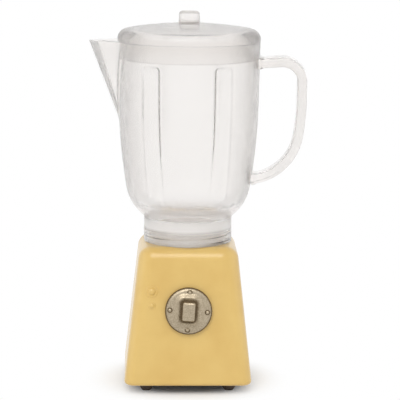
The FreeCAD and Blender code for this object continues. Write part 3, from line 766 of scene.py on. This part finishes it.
# The spout fades into the bowl between these angles from its ridge.
SPOUT_FADE = (math.radians(44), math.radians(58))
RIDGE_SOFT = 0.012                  # rounding of the spout's ridge, as an angle
SINK_LINE = 2.1 * MM                # height of the wavy sink line above the floor
SINK_WAVES = ((9, 0.16, 0.6), (23, 0.128, 2.1), (41, 0.08, 0.0))   # count, height in mm, phase
SINK_DEPTH = 0.12 * MM              # step in the wall at the sink line
SINK_SOFT = 0.2 * MM                # half the height over which it steps
FLOOR_BEND = 1.0 * MM               # height above the floor where the bowl's wall starts
FLOOR_CORNER = 0.7 * MM             # radius between floor and wall
FLOOR_INSET = 0.2 * MM              # how far that corner keeps from the wall's own line
NECK_EDGE = 0.16 * MM               # rounding of the neck's lower edges
SOCKET_CORNER = 0.3 * MM            # corner at the socket's end, and the spigot's inner corner
THREAD_START = 0.3 * MM             # plain length at either thread's end
THREAD_GROWN = 0.8 * MM             # height where the neck's thread has its full depth
THREAD_FADE = 0.6 * MM              # length over which it runs out at its top
THREAD_OVER = 0.4 * MM              # how far it goes past the spigot's top
# Height between the wall's rings, as a rule, near its foot, and at the flutes' tops.
ROW, FOOT_ROW, FLUTE_ROW = 0.6 * MM, 0.3 * MM, 0.14 * MM
LAST_ROW = 0.15 * MM                # least height under the last ring
FOOT_ZONE = 3 * MM                  # height of the wall's foot
FLUTE_ZONE = 1.2 * MM               # height with fine rings above and below a line
FLUTE_LINE = 0.4 * MM               # that is this far under the flutes' tops


def jug_columns(sizes):
    """Azimuths of the jug's columns, closer at the flutes' edges and at the spout's ridge."""
    columns = [WALL_STEP * step for step in range(round(FULL_TURN / WALL_STEP))]
    edge = math.asin(sizes.flute_half_width / sizes.belly_radius)
    for middle in flute_middles(sizes):
        for side in (-1, 1):
            columns += [
                (middle + side * edge + FLUTE_STEP * part) % FULL_TURN for part in range(-5, 6)
            ]
    columns += [math.pi + RIDGE_STEP * part for part in range(-9, 10)]
    columns.sort()
    kept = [columns[0]]
    for column in columns[1:]:
        if column - kept[-1] > LEAST_STEP:
            kept.append(column)
    return kept


def flute_middles(sizes):
    """Azimuths of the four flutes' middles."""
    return [
        quarter + side * sizes.flute_azimuth
        for quarter in (QUARTER_TURN, 3 * QUARTER_TURN) for side in (-1, 1)
    ]


def bowl_reach(height, inset, sizes):
    """Radius of the bowl, moved in by inset, at a height above the base's top."""
    rise = RIM - BASE_TOP - sizes.belly_height
    lean = math.atan((sizes.rim_radius - sizes.belly_radius) / rise)
    side = Vector((
        sizes.belly_radius - sizes.side_radius * math.cos(lean),
        sizes.belly_height + sizes.side_radius * math.sin(lean),
    ))
    slope = math.asin((side.y - sizes.bottom_height) / sizes.side_radius)
    inwards = Vector((math.cos(slope), -math.sin(slope)))
    bottom = side + inwards * (sizes.side_radius - sizes.bottom_radius)
    reach = sizes.bottom_radius - inset
    if height < bottom.y - reach * math.sin(slope):
        return bottom.x + math.sqrt(reach**2 - (bottom.y - height) ** 2)
    reach = sizes.side_radius - inset
    belly = side.y - reach * math.sin(lean)
    if height < belly:
        return side.x + math.sqrt(reach**2 - (side.y - height) ** 2)
    return side.x + reach * math.cos(lean) + math.tan(lean) * (height - belly)


def neck_top(sizes):
    """Height above the base's top at which the bowl is as wide as its neck, by halving."""
    low, high = 0.0, sizes.bottom_height
    for _ in range(40):
        middle = (low + high) / 2
        try:
            wide = bowl_reach(middle, 0.0, sizes) > sizes.neck_radius
        except ValueError:
            wide = False
        low, high = (low, middle) if wide else (middle, high)
    return high


def flute_share(lateral, height, sizes):
    """Depth of a flute as a share of its full depth, at a lateral offset and a height."""
    top = SKIRT_LOW - BASE_TOP - sizes.flute_top_gap
    corner = sizes.flute_top_corner
    across = max(0.0, abs(lateral) - (sizes.flute_half_width - corner))
    up = max(0.0, height - (top - corner))
    outside = math.hypot(across, up) - corner
    edge = sizes.flute_edge
    inside = 1 - smooth_step(-edge / 2, edge / 2, outside)
    below = max(0.0, (sizes.belly_height - height) / (sizes.belly_height - sizes.flute_end_height))
    return inside * max(0.0, 1 - below * below)


def spout_reach_at(away, height, inset, sizes):
    """Radius of the V spout at an angle from its ridge and a height above the base's top."""
    below = RIM - BASE_TOP - height
    ridge = sizes.spout_reach - (sizes.spout_reach - sizes.belly_radius) / sizes.spout_drop * below
    half = sizes.spout_half_angle
    # The wall is thinner at the spout's foot than at its tip.
    thickness = 0.4 + 0.8 * max(0.0, 1 - below / sizes.spout_drop)
    ridge -= inset * sizes.spout_wall / sizes.wall / math.sin(half) * thickness
    eased = math.sqrt(away * away + RIDGE_SOFT * RIDGE_SOFT) - RIDGE_SOFT
    return ridge * math.sin(half) / math.sin(min(QUARTER_TURN, half + eased))


def smooth_max(first, second, width):
    """Larger of two values, rounded where they are within width of each other."""
    share = min(1.0, max(0.0, 0.5 + 0.5 * (first - second) / width))
    return second * (1 - share) + first * share + width * share * (1 - share)


def jug_point(azimuth, height, inset, sizes):
    """Point of the jug's skin at an azimuth and a height above the base's top."""
    reach = bowl_reach(height, inset, sizes)
    turned = azimuth
    cut = 0.0
    for middle in flute_middles(sizes):
        away = azimuth - middle
        if abs(away) < FLUTE_FIELD[1]:
            lateral = sizes.belly_radius * math.sin(away)
            # Towards the narrow neck the columns come closer together again.
            held = max(reach, 0.75 * sizes.belly_radius)
            weight = 1 - smooth_step(*FLUTE_FIELD, abs(away))
            turned = azimuth + weight * (math.asin(lateral / held) - away)
            cut = sizes.flute_depth * flute_share(lateral, height, sizes)
    away = abs(azimuth - math.pi)
    if away < SPOUT_FADE[1]:
        spout = spout_reach_at(away, height, inset, sizes)
        if spout > reach - sizes.spout_blend:
            fade = 1 - smooth_step(*SPOUT_FADE, away)
            reach += fade * (smooth_max(reach, spout, sizes.spout_blend) - reach)
    return polar(reach - cut, turned + sizes.rest_turn, BASE_TOP + height)


def thread_share(azimuth, height, pitch):
    """Share of a thread's depth at a point: 1 in its groove, 0 on its crest."""
    phase = (height / pitch - azimuth / FULL_TURN) % 1.0
    return smooth_step(0.15, 0.4, phase) * (1 - smooth_step(0.6, 0.85, phase))


def sink_step(azimuth, above_floor):
    """Extra thickness of the wall below the wavy sink line near the jug's floor."""
    waves = sum(rise * math.sin(count * azimuth + phase) for count, rise, phase in SINK_WAVES)
    line = SINK_LINE + waves * MM
    return SINK_DEPTH * smooth_step(-SINK_SOFT, SINK_SOFT, line - above_floor)


def build_jug(sizes):
    """Mesh of the bowl, spout and neck as one closed skin."""
    columns = jug_columns(sizes)
    rim_height = RIM - BASE_TOP
    wall_top = rim_height - sizes.rim_round
    floor = sizes.floor_height
    under = floor - sizes.floor_thickness
    neck_height = neck_top(sizes)
    wall_start = floor + FLOOR_BEND
    socket = sizes.neck_radius - sizes.neck_wall
    thread_top = SPIGOT_TOP - BASE_TOP + THREAD_OVER

    def plain_rings(corners, step):
        """Round rings through (radius, height above the base's top, corner radius)."""
        return [
            [polar(spot.x, azimuth + sizes.rest_turn, BASE_TOP + spot.y) for azimuth in columns]
            for spot in outline(corners, step)
        ]

    def skin_ring(height, inset):
        """Ring of the bowl and spout, moved in by inset."""
        return [jug_point(azimuth, height, inset, sizes) for azimuth in columns]

    rings = plain_rings([
        (CAP, floor, 0.0),
        (bowl_reach(floor, sizes.wall, sizes) - FLOOR_INSET, floor, FLOOR_CORNER),
        (bowl_reach(wall_start, sizes.wall, sizes), wall_start, 0.0),
    ], step=1.2 * MM)[:-1]
    for height in wall_heights(wall_start, wall_top, sizes):
        rings.append([
            jug_point(azimuth, height, sizes.wall + sink_step(azimuth, height - floor), sizes)
            for azimuth in columns
        ])
    for bend in quarter_bends(8)[1:]:
        inset = sizes.wall - sizes.rim_round * (1 - math.cos(bend))
        rings.append(skin_ring(rim_height - sizes.rim_round * (1 - math.sin(bend)), inset))
    rings += [skin_ring(rim_height, sizes.wall * share) for share in (0.75, 0.5, 0.25)]
    for bend in quarter_bends(8):
        inset = sizes.rim_round * (1 - math.sin(bend))
        rings.append(skin_ring(rim_height - sizes.rim_round * (1 - math.cos(bend)), inset))
    for height in reversed(wall_heights(neck_height, wall_top, sizes)[1:-1]):
        rings.append(skin_ring(height, 0.0))
    rings += plain_rings([
        (sizes.neck_radius, neck_height, 0.0), (sizes.neck_radius, 0.0, NECK_EDGE),
        (socket, 0.0, NECK_EDGE), (socket, THREAD_START, 0.0),
    ], step=0.6 * MM)
    for share in shares(36):
        height = THREAD_START + (thread_top - THREAD_START) * share
        grown = smooth_step(THREAD_START, THREAD_GROWN, height)
        ends = grown * (1 - smooth_step(thread_top - THREAD_FADE, thread_top, height))
        ring = []
        for azimuth in columns:
            groove = thread_share(azimuth, height, sizes.thread_pitch)
            reach = socket + sizes.thread_depth * ends * groove
            ring.append(polar(reach, azimuth + sizes.rest_turn, BASE_TOP + height))
        rings.append(ring)
    rings += plain_rings([
        (socket, thread_top, 0.0), (socket, under, SOCKET_CORNER), (CAP, under, 0.0),
    ], step=0.8 * MM)[1:]
    return solid_from_rings(
        "jug_moulding", rings,
        Vector((0, 0, BASE_TOP + floor)), Vector((0, 0, BASE_TOP + under)),
    )


def wall_heights(low, high, sizes):
    """Heights of the wall's rings, closer at its foot and at the flutes' tops."""
    flute_line = SKIRT_LOW - BASE_TOP - sizes.flute_top_gap - FLUTE_LINE
    heights = []
    height = low
    while height < high - LAST_ROW:
        heights.append(height)
        if abs(height - flute_line) < FLUTE_ZONE:
            height += FLUTE_ROW
        elif height < low + FOOT_ZONE:
            height += FOOT_ROW
        else:
            height += ROW
    return heights + [high]


# ---------------------------------------------------------------- handle
WELD_DEPTH = 0.55 * MM      # how far the strap's upper end goes into the jug's wall
END_DEPTH = 0.6 * MM        # how far the lower end goes in
END_RISE = 3 * MM           # height of the lower end over the lowest point of the sweep
WELD_NEAR = 0.4 * MM        # length of the strap that has the weld's full flare
WELD_FAR = 1.3 * MM         # and where the flare has run out


def handle_path(sizes, jug):
    """Middle line of the strap as (spot, outward angle), and the height of its lowest point."""
    half = sizes.thickness / 2
    slope = sizes.top_slope
    corner = Vector((sizes.reach - sizes.corner_radius, RIM - sizes.top_drop - sizes.corner_radius))
    bow = Vector((sizes.reach - sizes.bow_radius, RIM - sizes.bow_drop))
    apart = sizes.bow_radius - sizes.sweep_radius
    leave = math.asin((sizes.sweep_drop - sizes.bow_drop) / apart)
    sweep = bow + Vector((math.cos(leave), -math.sin(leave))) * apart
    sweep_radius = sizes.sweep_radius - half

    def around(centre, radius, bend):
        """Spot on an arc and its outward angle."""
        return centre + Vector((radius * math.cos(bend), radius * math.sin(bend))), bend

    first = QUARTER_TURN + slope
    lead = around(corner, sizes.corner_radius - half, first)[0]
    along = Vector((math.cos(slope), math.sin(slope)))
    run = (lead.x - (jug.rim_radius - WELD_DEPTH)) / math.cos(slope)
    path = [(lead - along * (run * (1 - part / 30)), first) for part in range(30)]
    # The section where the corner starts leans into it, by as much as the top run slopes.
    path.append((lead, QUARTER_TURN - slope))
    for share in shares(40):
        path.append(around(corner, sizes.corner_radius - half, first * (1 - share)))
    side = path[-1][0]
    for share in shares(12):
        path.append((side - Vector((0, (corner.y - bow.y) * share)), 0.0))
    for share in shares(24):
        path.append(around(bow, sizes.bow_radius - half, -leave * share))
    end_height = sweep.y - sweep_radius - BASE_TOP + END_RISE
    end = (bowl_reach(end_height, END_DEPTH, jug) - sweep.x) / sweep_radius
    last = -math.acos(max(-1.0, min(1.0, end)))
    for share in shares(80):
        path.append(around(sweep, sweep_radius, -leave * (1 - share) + last * share))
    return path, sweep.y - sweep_radius


def build_handle(sizes, jug):
    """Mesh of the strap, swept along its loop, with both ends inside the jug's wall."""
    path, low = handle_path(sizes, jug)
    high = RIM - sizes.top_drop
    lengths = [0.0]
    for (near, _), (far, _) in zip(path, path[1:]):
        lengths.append(lengths[-1] + (far - near).length)
    spin = Matrix.Rotation(jug.rest_turn, 4, "Z")
    rings = []
    for (spot, bend), along in zip(path, lengths):
        share = min(1.0, max(0.0, (high - spot.y) / (high - low)))
        half_depth = (sizes.depth_high * (1 - share) + sizes.depth_low * share) / 2
        to_end = min(along, lengths[-1] - along)
        flare = sizes.weld_flare * (1 - smooth_step(WELD_NEAR, WELD_FAR, to_end))
        outwards = Vector((math.cos(bend), math.sin(bend)))
        ring = []
        for across, out in strap_section(
            half_depth + flare, sizes.thickness / 2 + flare, sizes.edge_radius
        ):
            point = spot + outwards * out
            ring.append(spin @ Vector((point.x, across, point.y)))
        rings.append(ring)
    low_pole, high_pole = [sum(ring, Vector()) / len(ring) for ring in (rings[0], rings[-1])]
    return solid_from_rings("jug_strap", rings, low_pole, high_pole)


def strap_section(half_depth, half_thickness, radius):
    """Points round a flat strap's section, as (across, out)."""
    points = []
    quarters = [(half_depth, half_thickness), (half_thickness, half_depth)] * 2
    for turn, (depth, thickness) in enumerate(quarters):
        across, out = depth - radius, thickness - radius
        side = [
            (across + radius * math.cos(bend), out + radius * math.sin(bend))
            for bend in quarter_bends(6)
        ]
        side += [(across * (1 - 2 * share), thickness) for share in shares(6)[:-1]]
        cosine, sine = math.cos(QUARTER_TURN * turn), math.sin(QUARTER_TURN * turn)
        points += [(x * cosine - y * sine, x * sine + y * cosine) for x, y in side]
    return points


def merge(target, other):
    """Union of two closed pieces; the second is used up."""
    modifier = target.modifiers.new("union", "BOOLEAN")
    modifier.operation = "UNION"
    modifier.solver = "MANIFOLD"
    modifier.object = other
    depsgraph = bpy.context.evaluated_depsgraph_get()
    joined = bpy.data.meshes.new_from_object(target.evaluated_get(depsgraph))
    target.modifiers.clear()
    old, spare = target.data, other.data
    name = old.name
    target.data = joined
    bpy.data.objects.remove(other)
    bpy.data.meshes.remove(old)
    bpy.data.meshes.remove(spare)
    joined.name = name
    joined.materials.clear()
    joined.polygons.foreach_set("use_smooth", [True] * len(joined.polygons))


# ---------------------------------------------------------------- lid
TURNED_COLUMNS = 240
KNOB_FOOT_CORNER = 0.18 * MM
FLANGE_EDGE = 0.12 * MM         # outer edge of the flange's underside
FLANGE_CORNER = 0.1 * MM        # between flange and skirt
SKIRT_EDGE = 0.22 * MM
SKIRT_CORNER = 0.35 * MM        # between the skirt and the inside of the crown
CROWN_INSET = 0.3 * MM          # how far the crown's inner rings keep from that corner


def build_lid(sizes, jug):
    """Mesh of the lid: knob, crown, shoulder, flange and skirt, all hollow below."""
    crown = RIM + sizes.edge_height + sizes.crown
    ball = (LID_RADIUS**2 + sizes.crown**2) / (2 * sizes.crown)
    bend = sizes.shoulder_radius

    def crown_height(radius):
        """Height of the crown's ball at a radius."""
        return crown - ball + math.sqrt(ball**2 - radius**2)

    skirt_outer = jug.rim_radius - jug.wall - sizes.skirt_gap
    skirt_inner = skirt_outer - sizes.skirt_wall
    middle = Vector((LID_RADIUS - bend, 0.0))
    middle.y = crown - ball + math.sqrt((ball - bend) ** 2 - middle.x**2)
    steepest = math.acos(middle.x / (ball - bend))
    start = middle.x + bend * math.cos(steepest)
    corners = [
        (FINE_CAP, KNOB_TOP, 0.0), (sizes.knob_top_radius, KNOB_TOP, sizes.knob_edge_radius),
        (sizes.knob_foot_radius, crown_height(sizes.knob_foot_radius), KNOB_FOOT_CORNER),
    ]
    for share in shares(7):
        radius = sizes.knob_foot_radius + (start - sizes.knob_foot_radius) * share
        corners.append((radius, crown_height(radius), 0.0))
    for share in shares(12):
        turned = steepest * (1 - share)
        corners.append((middle.x + bend * math.cos(turned), middle.y + bend * math.sin(turned), 0.0))
    corners += [
        (LID_RADIUS, RIM, FLANGE_EDGE), (skirt_outer, RIM, FLANGE_CORNER),
        (skirt_outer, SKIRT_LOW, SKIRT_EDGE), (skirt_inner, SKIRT_LOW, SKIRT_EDGE),
        (skirt_inner, crown_height(skirt_inner) - sizes.wall, SKIRT_CORNER),
    ]
    for share in shares(6)[:-1]:
        radius = skirt_inner * (1 - share) - CROWN_INSET
        corners.append((radius, crown_height(radius) - sizes.wall, 0.0))
    corners.append((FINE_CAP, crown - sizes.wall, 0.0))
    return solid_from_rings(
        "lid_moulding", turned_rings(outline(corners, step=0.8 * MM), TURNED_COLUMNS),
        Vector((0, 0, KNOB_TOP)), Vector((0, 0, crown - sizes.wall)),
    )


# ---------------------------------------------------------------- spigot
SPIGOT_EDGE = 0.25 * MM
THREAD_LOW = 0.1 * MM       # end of the spigot's thread, above the base's top


def build_spigot(sizes, jug):
    """Mesh of the threaded cup and its flange under the base's top."""
    root = sizes.crest_radius - sizes.thread_depth
    ceiling = FLANGE_LOW + sizes.flange_thickness
    thread_top, thread_end = SPIGOT_TOP - THREAD_START, BASE_TOP + THREAD_LOW
    pitch = jug.thread_pitch
    rings = turned_rings(outline([
        (CAP, SPIGOT_TOP, 0.0), (root, SPIGOT_TOP, SPIGOT_EDGE), (root, thread_top, 0.0),
    ], step=0.8 * MM), TURNED_COLUMNS)
    for share in shares(34):
        height = thread_top + (thread_end - thread_top) * share
        depth = sizes.thread_depth * smooth_step(0.0, 0.15, share)
        ring = []
        for step in range(TURNED_COLUMNS):
            azimuth = FULL_TURN * step / TURNED_COLUMNS
            crest = 1 - thread_share(azimuth, height - BASE_TOP + pitch / 2, pitch)
            ring.append(polar(root + depth * crest, azimuth, height))
        rings.append(ring)
    neck = outline([(root, thread_end, 0.0), (root, ceiling, 0.0)], step=0.8 * MM)
    rings += turned_rings(neck[1:], TURNED_COLUMNS)
    for height in (ceiling, FLANGE_LOW):
        ring = []
        for x, y in spokes(TURNED_COLUMNS):
            reach = rectangle_reach((x, y), FLANGE_HALF, FLANGE_HALF, sizes.flange_corner)
            ring.append(Vector((x * reach, y * reach, height)))
        rings.append(ring)
    bore = sizes.crest_radius - sizes.wall
    inner_top = SPIGOT_TOP - sizes.wall
    rings += turned_rings(outline([
        (bore, FLANGE_LOW, 0.0), (bore, inner_top, SOCKET_CORNER), (CAP, inner_top, 0.0),
    ], step=0.8 * MM), TURNED_COLUMNS)
    return solid_from_rings(
        "spigot_moulding", rings, Vector((0, 0, SPIGOT_TOP)), Vector((0, 0, inner_top))
    )


# ---------------------------------------------------------------- stage
FLOOR_HALF = 1.2
SHADOW_NEAR, SHADOW_FAR = 10 * MM, 23 * MM      # the floor turns plain white between these radii
SENSOR_MM = 36.0
CLIP = (0.01, 10.0)                             # nearest and furthest distance that is drawn
LIT_POINT = (0.0, 0.0, 0.035)                   # where the soft boxes face


def seen_share(tree):
    """1 on a ray from the camera, and on one that metal or clear plastic shows, else 0."""
    rays = add_node(tree, "ShaderNodeLightPath").outputs
    seen = rays["Is Camera Ray"]
    for kind in ("Is Glossy Ray", "Is Transmission Ray"):
        seen = add_node(tree, "ShaderNodeMath", {0: seen, 1: rays[kind]}, operation="MAXIMUM")
    return seen


def lit_floor(settings):
    """Matt pale floor that keeps the shadow near the object and is plain white further off."""
    material, tree, place = new_material("white_paper_sweep")
    away = add_node(tree, "ShaderNodeVectorMath", {0: place}, operation="LENGTH")
    far = add_node(
        tree, "ShaderNodeMapRange", {"Value": away, "From Min": SHADOW_NEAR, "From Max": SHADOW_FAR},
        interpolation_type="SMOOTHSTEP",
    )
    share = add_node(tree, "ShaderNodeMath", {0: seen_share(tree), 1: far}, operation="MULTIPLY")
    matt = add_node(tree, "ShaderNodeBsdfDiffuse", {"Color": settings.floor})
    white = add_node(tree, "ShaderNodeEmission", {"Color": WHITE, "Strength": 1.0})
    both = add_node(tree, "ShaderNodeMixShader", {0: share, 1: matt, 2: white})
    add_node(tree, "ShaderNodeOutputMaterial", {"Surface": both})
    return material


def build_floor(settings):
    """Large flat floor under the feet."""
    mesh = bpy.data.meshes.new("floor")
    corners = [
        (x * FLOOR_HALF, y * FLOOR_HALF, 0.0) for x, y in ((-1, -1), (1, -1), (1, 1), (-1, 1))
    ]
    mesh.from_pydata(corners, [], [(0, 1, 2, 3)])
    mesh.materials.append(lit_floor(settings))
    floor = new_object("floor", mesh)


def light_world(settings):
    """Plain light from all round, seen as white by the camera, clear plastic and metal."""
    world = bpy.data.worlds.new("studio")
    world.use_nodes = True
    tree = world.node_tree
    tree.nodes.clear()
    strength = add_node(tree, "ShaderNodeMapRange", {
        "Value": seen_share(tree), "To Min": settings.world_level, "To Max": 1.0,
    })
    plain = add_node(tree, "ShaderNodeBackground", {"Color": WHITE, "Strength": strength})
    add_node(tree, "ShaderNodeOutputWorld", {"Surface": plain})
    bpy.context.scene.world = world


def add_soft_box(name, place, width, power):
    """Square soft box that faces the object."""
    lamp = bpy.data.lights.new(name, "AREA")
    lamp.size = width
    lamp.energy = power
    box = new_object(name, lamp)
    box.location = place
    box.rotation_euler = (Vector(place) - Vector(LIT_POINT)).to_track_quat("Z", "Y").to_euler()


def add_camera(settings):
    """Camera that looks slightly down at the front."""
    camera = bpy.data.cameras.new("camera")
    camera.sensor_width = SENSOR_MM
    camera.lens = settings.lens_mm
    camera.clip_start, camera.clip_end = CLIP
    holder = new_object("camera", camera)
    spin = Matrix.Rotation(settings.azimuth, 4, "Z")
    tilt = Matrix.Rotation(QUARTER_TURN - settings.elevation, 4, "X")
    roll = Matrix.Rotation(settings.roll, 4, "Z")
    aim = Matrix.Translation(Vector((settings.aim_x, 0.0, settings.aim_z)))
    back = Matrix.Translation(Vector((0.0, 0.0, settings.distance)))
    holder.matrix_world = spin @ aim @ tilt @ roll @ back
    bpy.context.scene.camera = holder


# ---------------------------------------------------------------- operators
class TOYBLENDER_OT_base(bpy.types.Operator):
    """Finish the housing, bottom plate, feet and fixings."""

    bl_idname = "toyblender.base"
    bl_label = "Base"

    def execute(self, context):
        dress_node("base_housing", stoved_enamel_on_die_cast_zinc)
        dress_node("base_plate", spark_textured_moulded_abs)
        for node in frame["nodes"]:
            if node.startswith("foot_"):
                dress_node(node, moulded_nitrile_rubber)
        for node in ("plate_screws", "spigot_screws", "dial_washer", "dial_retainer"):
            dress_node(node, zinc_plated_turned_steel)
        return {"FINISHED"}


class TOYBLENDER_OT_dial(bpy.types.Operator):
    """Build the cast dial with its grip, collar and rivets."""

    bl_idname = "toyblender.dial"
    bl_label = "Dial"

    def execute(self, context):
        dial = build_dial(context.scene.blender_dial)
        finish_piece(dial, antiqued_cast_pewter, "dial", ["dial"])
        return {"FINISHED"}


class TOYBLENDER_OT_jug(bpy.types.Operator):
    """Build the fluted jug with its spout, neck and handle."""

    bl_idname = "toyblender.jug"
    bl_label = "Jug and handle"

    def execute(self, context):
        scene = context.scene
        jug = build_jug(scene.blender_jug)
        merge(jug, build_handle(scene.blender_handle, scene.blender_jug))
        nodes = ["jug", "jug_handle"]
        finish_piece(jug, injection_moulded_clear_polystyrene, "jug", nodes)
        return {"FINISHED"}


class TOYBLENDER_OT_lid(bpy.types.Operator):
    """Build the lid with its knob and skirt."""

    bl_idname = "toyblender.lid"
    bl_label = "Lid"

    def execute(self, context):
        lid = build_lid(context.scene.blender_lid, context.scene.blender_jug)
        finish_piece(lid, injection_moulded_clear_polystyrene, "lid", ["lid"])
        return {"FINISHED"}


class TOYBLENDER_OT_spigot(bpy.types.Operator):
    """Build the threaded spigot inside the neck."""

    bl_idname = "toyblender.spigot"
    bl_label = "Spigot"

    def execute(self, context):
        spigot = build_spigot(context.scene.blender_spigot, context.scene.blender_jug)
        nodes = ["jug_spigot"]
        finish_piece(spigot, injection_moulded_natural_polypropylene, "base", nodes)
        return {"FINISHED"}


class TOYBLENDER_OT_stage(bpy.types.Operator):
    """Set the floor, the plain light and the camera."""

    bl_idname = "toyblender.stage"
    bl_label = "Stage"

    def execute(self, context):
        scene = context.scene
        settings = scene.blender_stage
        scene.view_settings.view_transform = "Standard"
        build_floor(settings)
        light_world(settings)
        add_soft_box("soft_box_key", (-0.12, -0.50, 0.56), 0.42, settings.key_power)
        for name, across in (("soft_box_left", -0.6), ("soft_box_right", 0.6)):
            add_soft_box(name, (across, -0.1, 0.25), 0.5, settings.fill_power)
        add_camera(settings)
        return {"FINISHED"}


class TOYBLENDER_PT_panel(bpy.types.Panel):
    """Buttons that build the toy blender, piece by piece."""

    bl_label = "Toy Blender"
    bl_idname = "TOYBLENDER_PT_panel"
    bl_space_type = "VIEW_3D"
    bl_region_type = "UI"
    bl_category = "Toy Blender"

    def draw(self, context):
        for operator in OPERATORS:
            self.layout.operator(operator.bl_idname)


GROUPS = {
    "blender_colours": FinishColours, "blender_dial": DialSizes, "blender_jug": JugSizes,
    "blender_handle": HandleSizes, "blender_lid": LidSizes, "blender_spigot": SpigotSizes,
    "blender_stage": StageSettings,
}
OPERATORS = (
    TOYBLENDER_OT_base, TOYBLENDER_OT_dial, TOYBLENDER_OT_jug, TOYBLENDER_OT_lid,
    TOYBLENDER_OT_spigot, TOYBLENDER_OT_stage,
)


def register():
    """Register the settings, the operators and the panel."""
    for name, group in GROUPS.items():
        bpy.utils.register_class(group)
        setattr(bpy.types.Scene, name, PointerProperty(type=group))
    for operator in OPERATORS:
        bpy.utils.register_class(operator)
    bpy.utils.register_class(TOYBLENDER_PT_panel)


def unregister():
    """Take back what register added."""
    bpy.utils.unregister_class(TOYBLENDER_PT_panel)
    for operator in reversed(OPERATORS):
        bpy.utils.unregister_class(operator)
    for name, group in reversed(GROUPS.items()):
        delattr(bpy.types.Scene, name)
        bpy.utils.unregister_class(group)


def main():
    """Build every piece and the stage."""
    register()
    bpy.ops.toyblender.base()
    bpy.ops.toyblender.dial()
    bpy.ops.toyblender.jug()
    bpy.ops.toyblender.lid()
    bpy.ops.toyblender.spigot()
    bpy.ops.toyblender.stage()


if __name__ == "__main__":
    main()
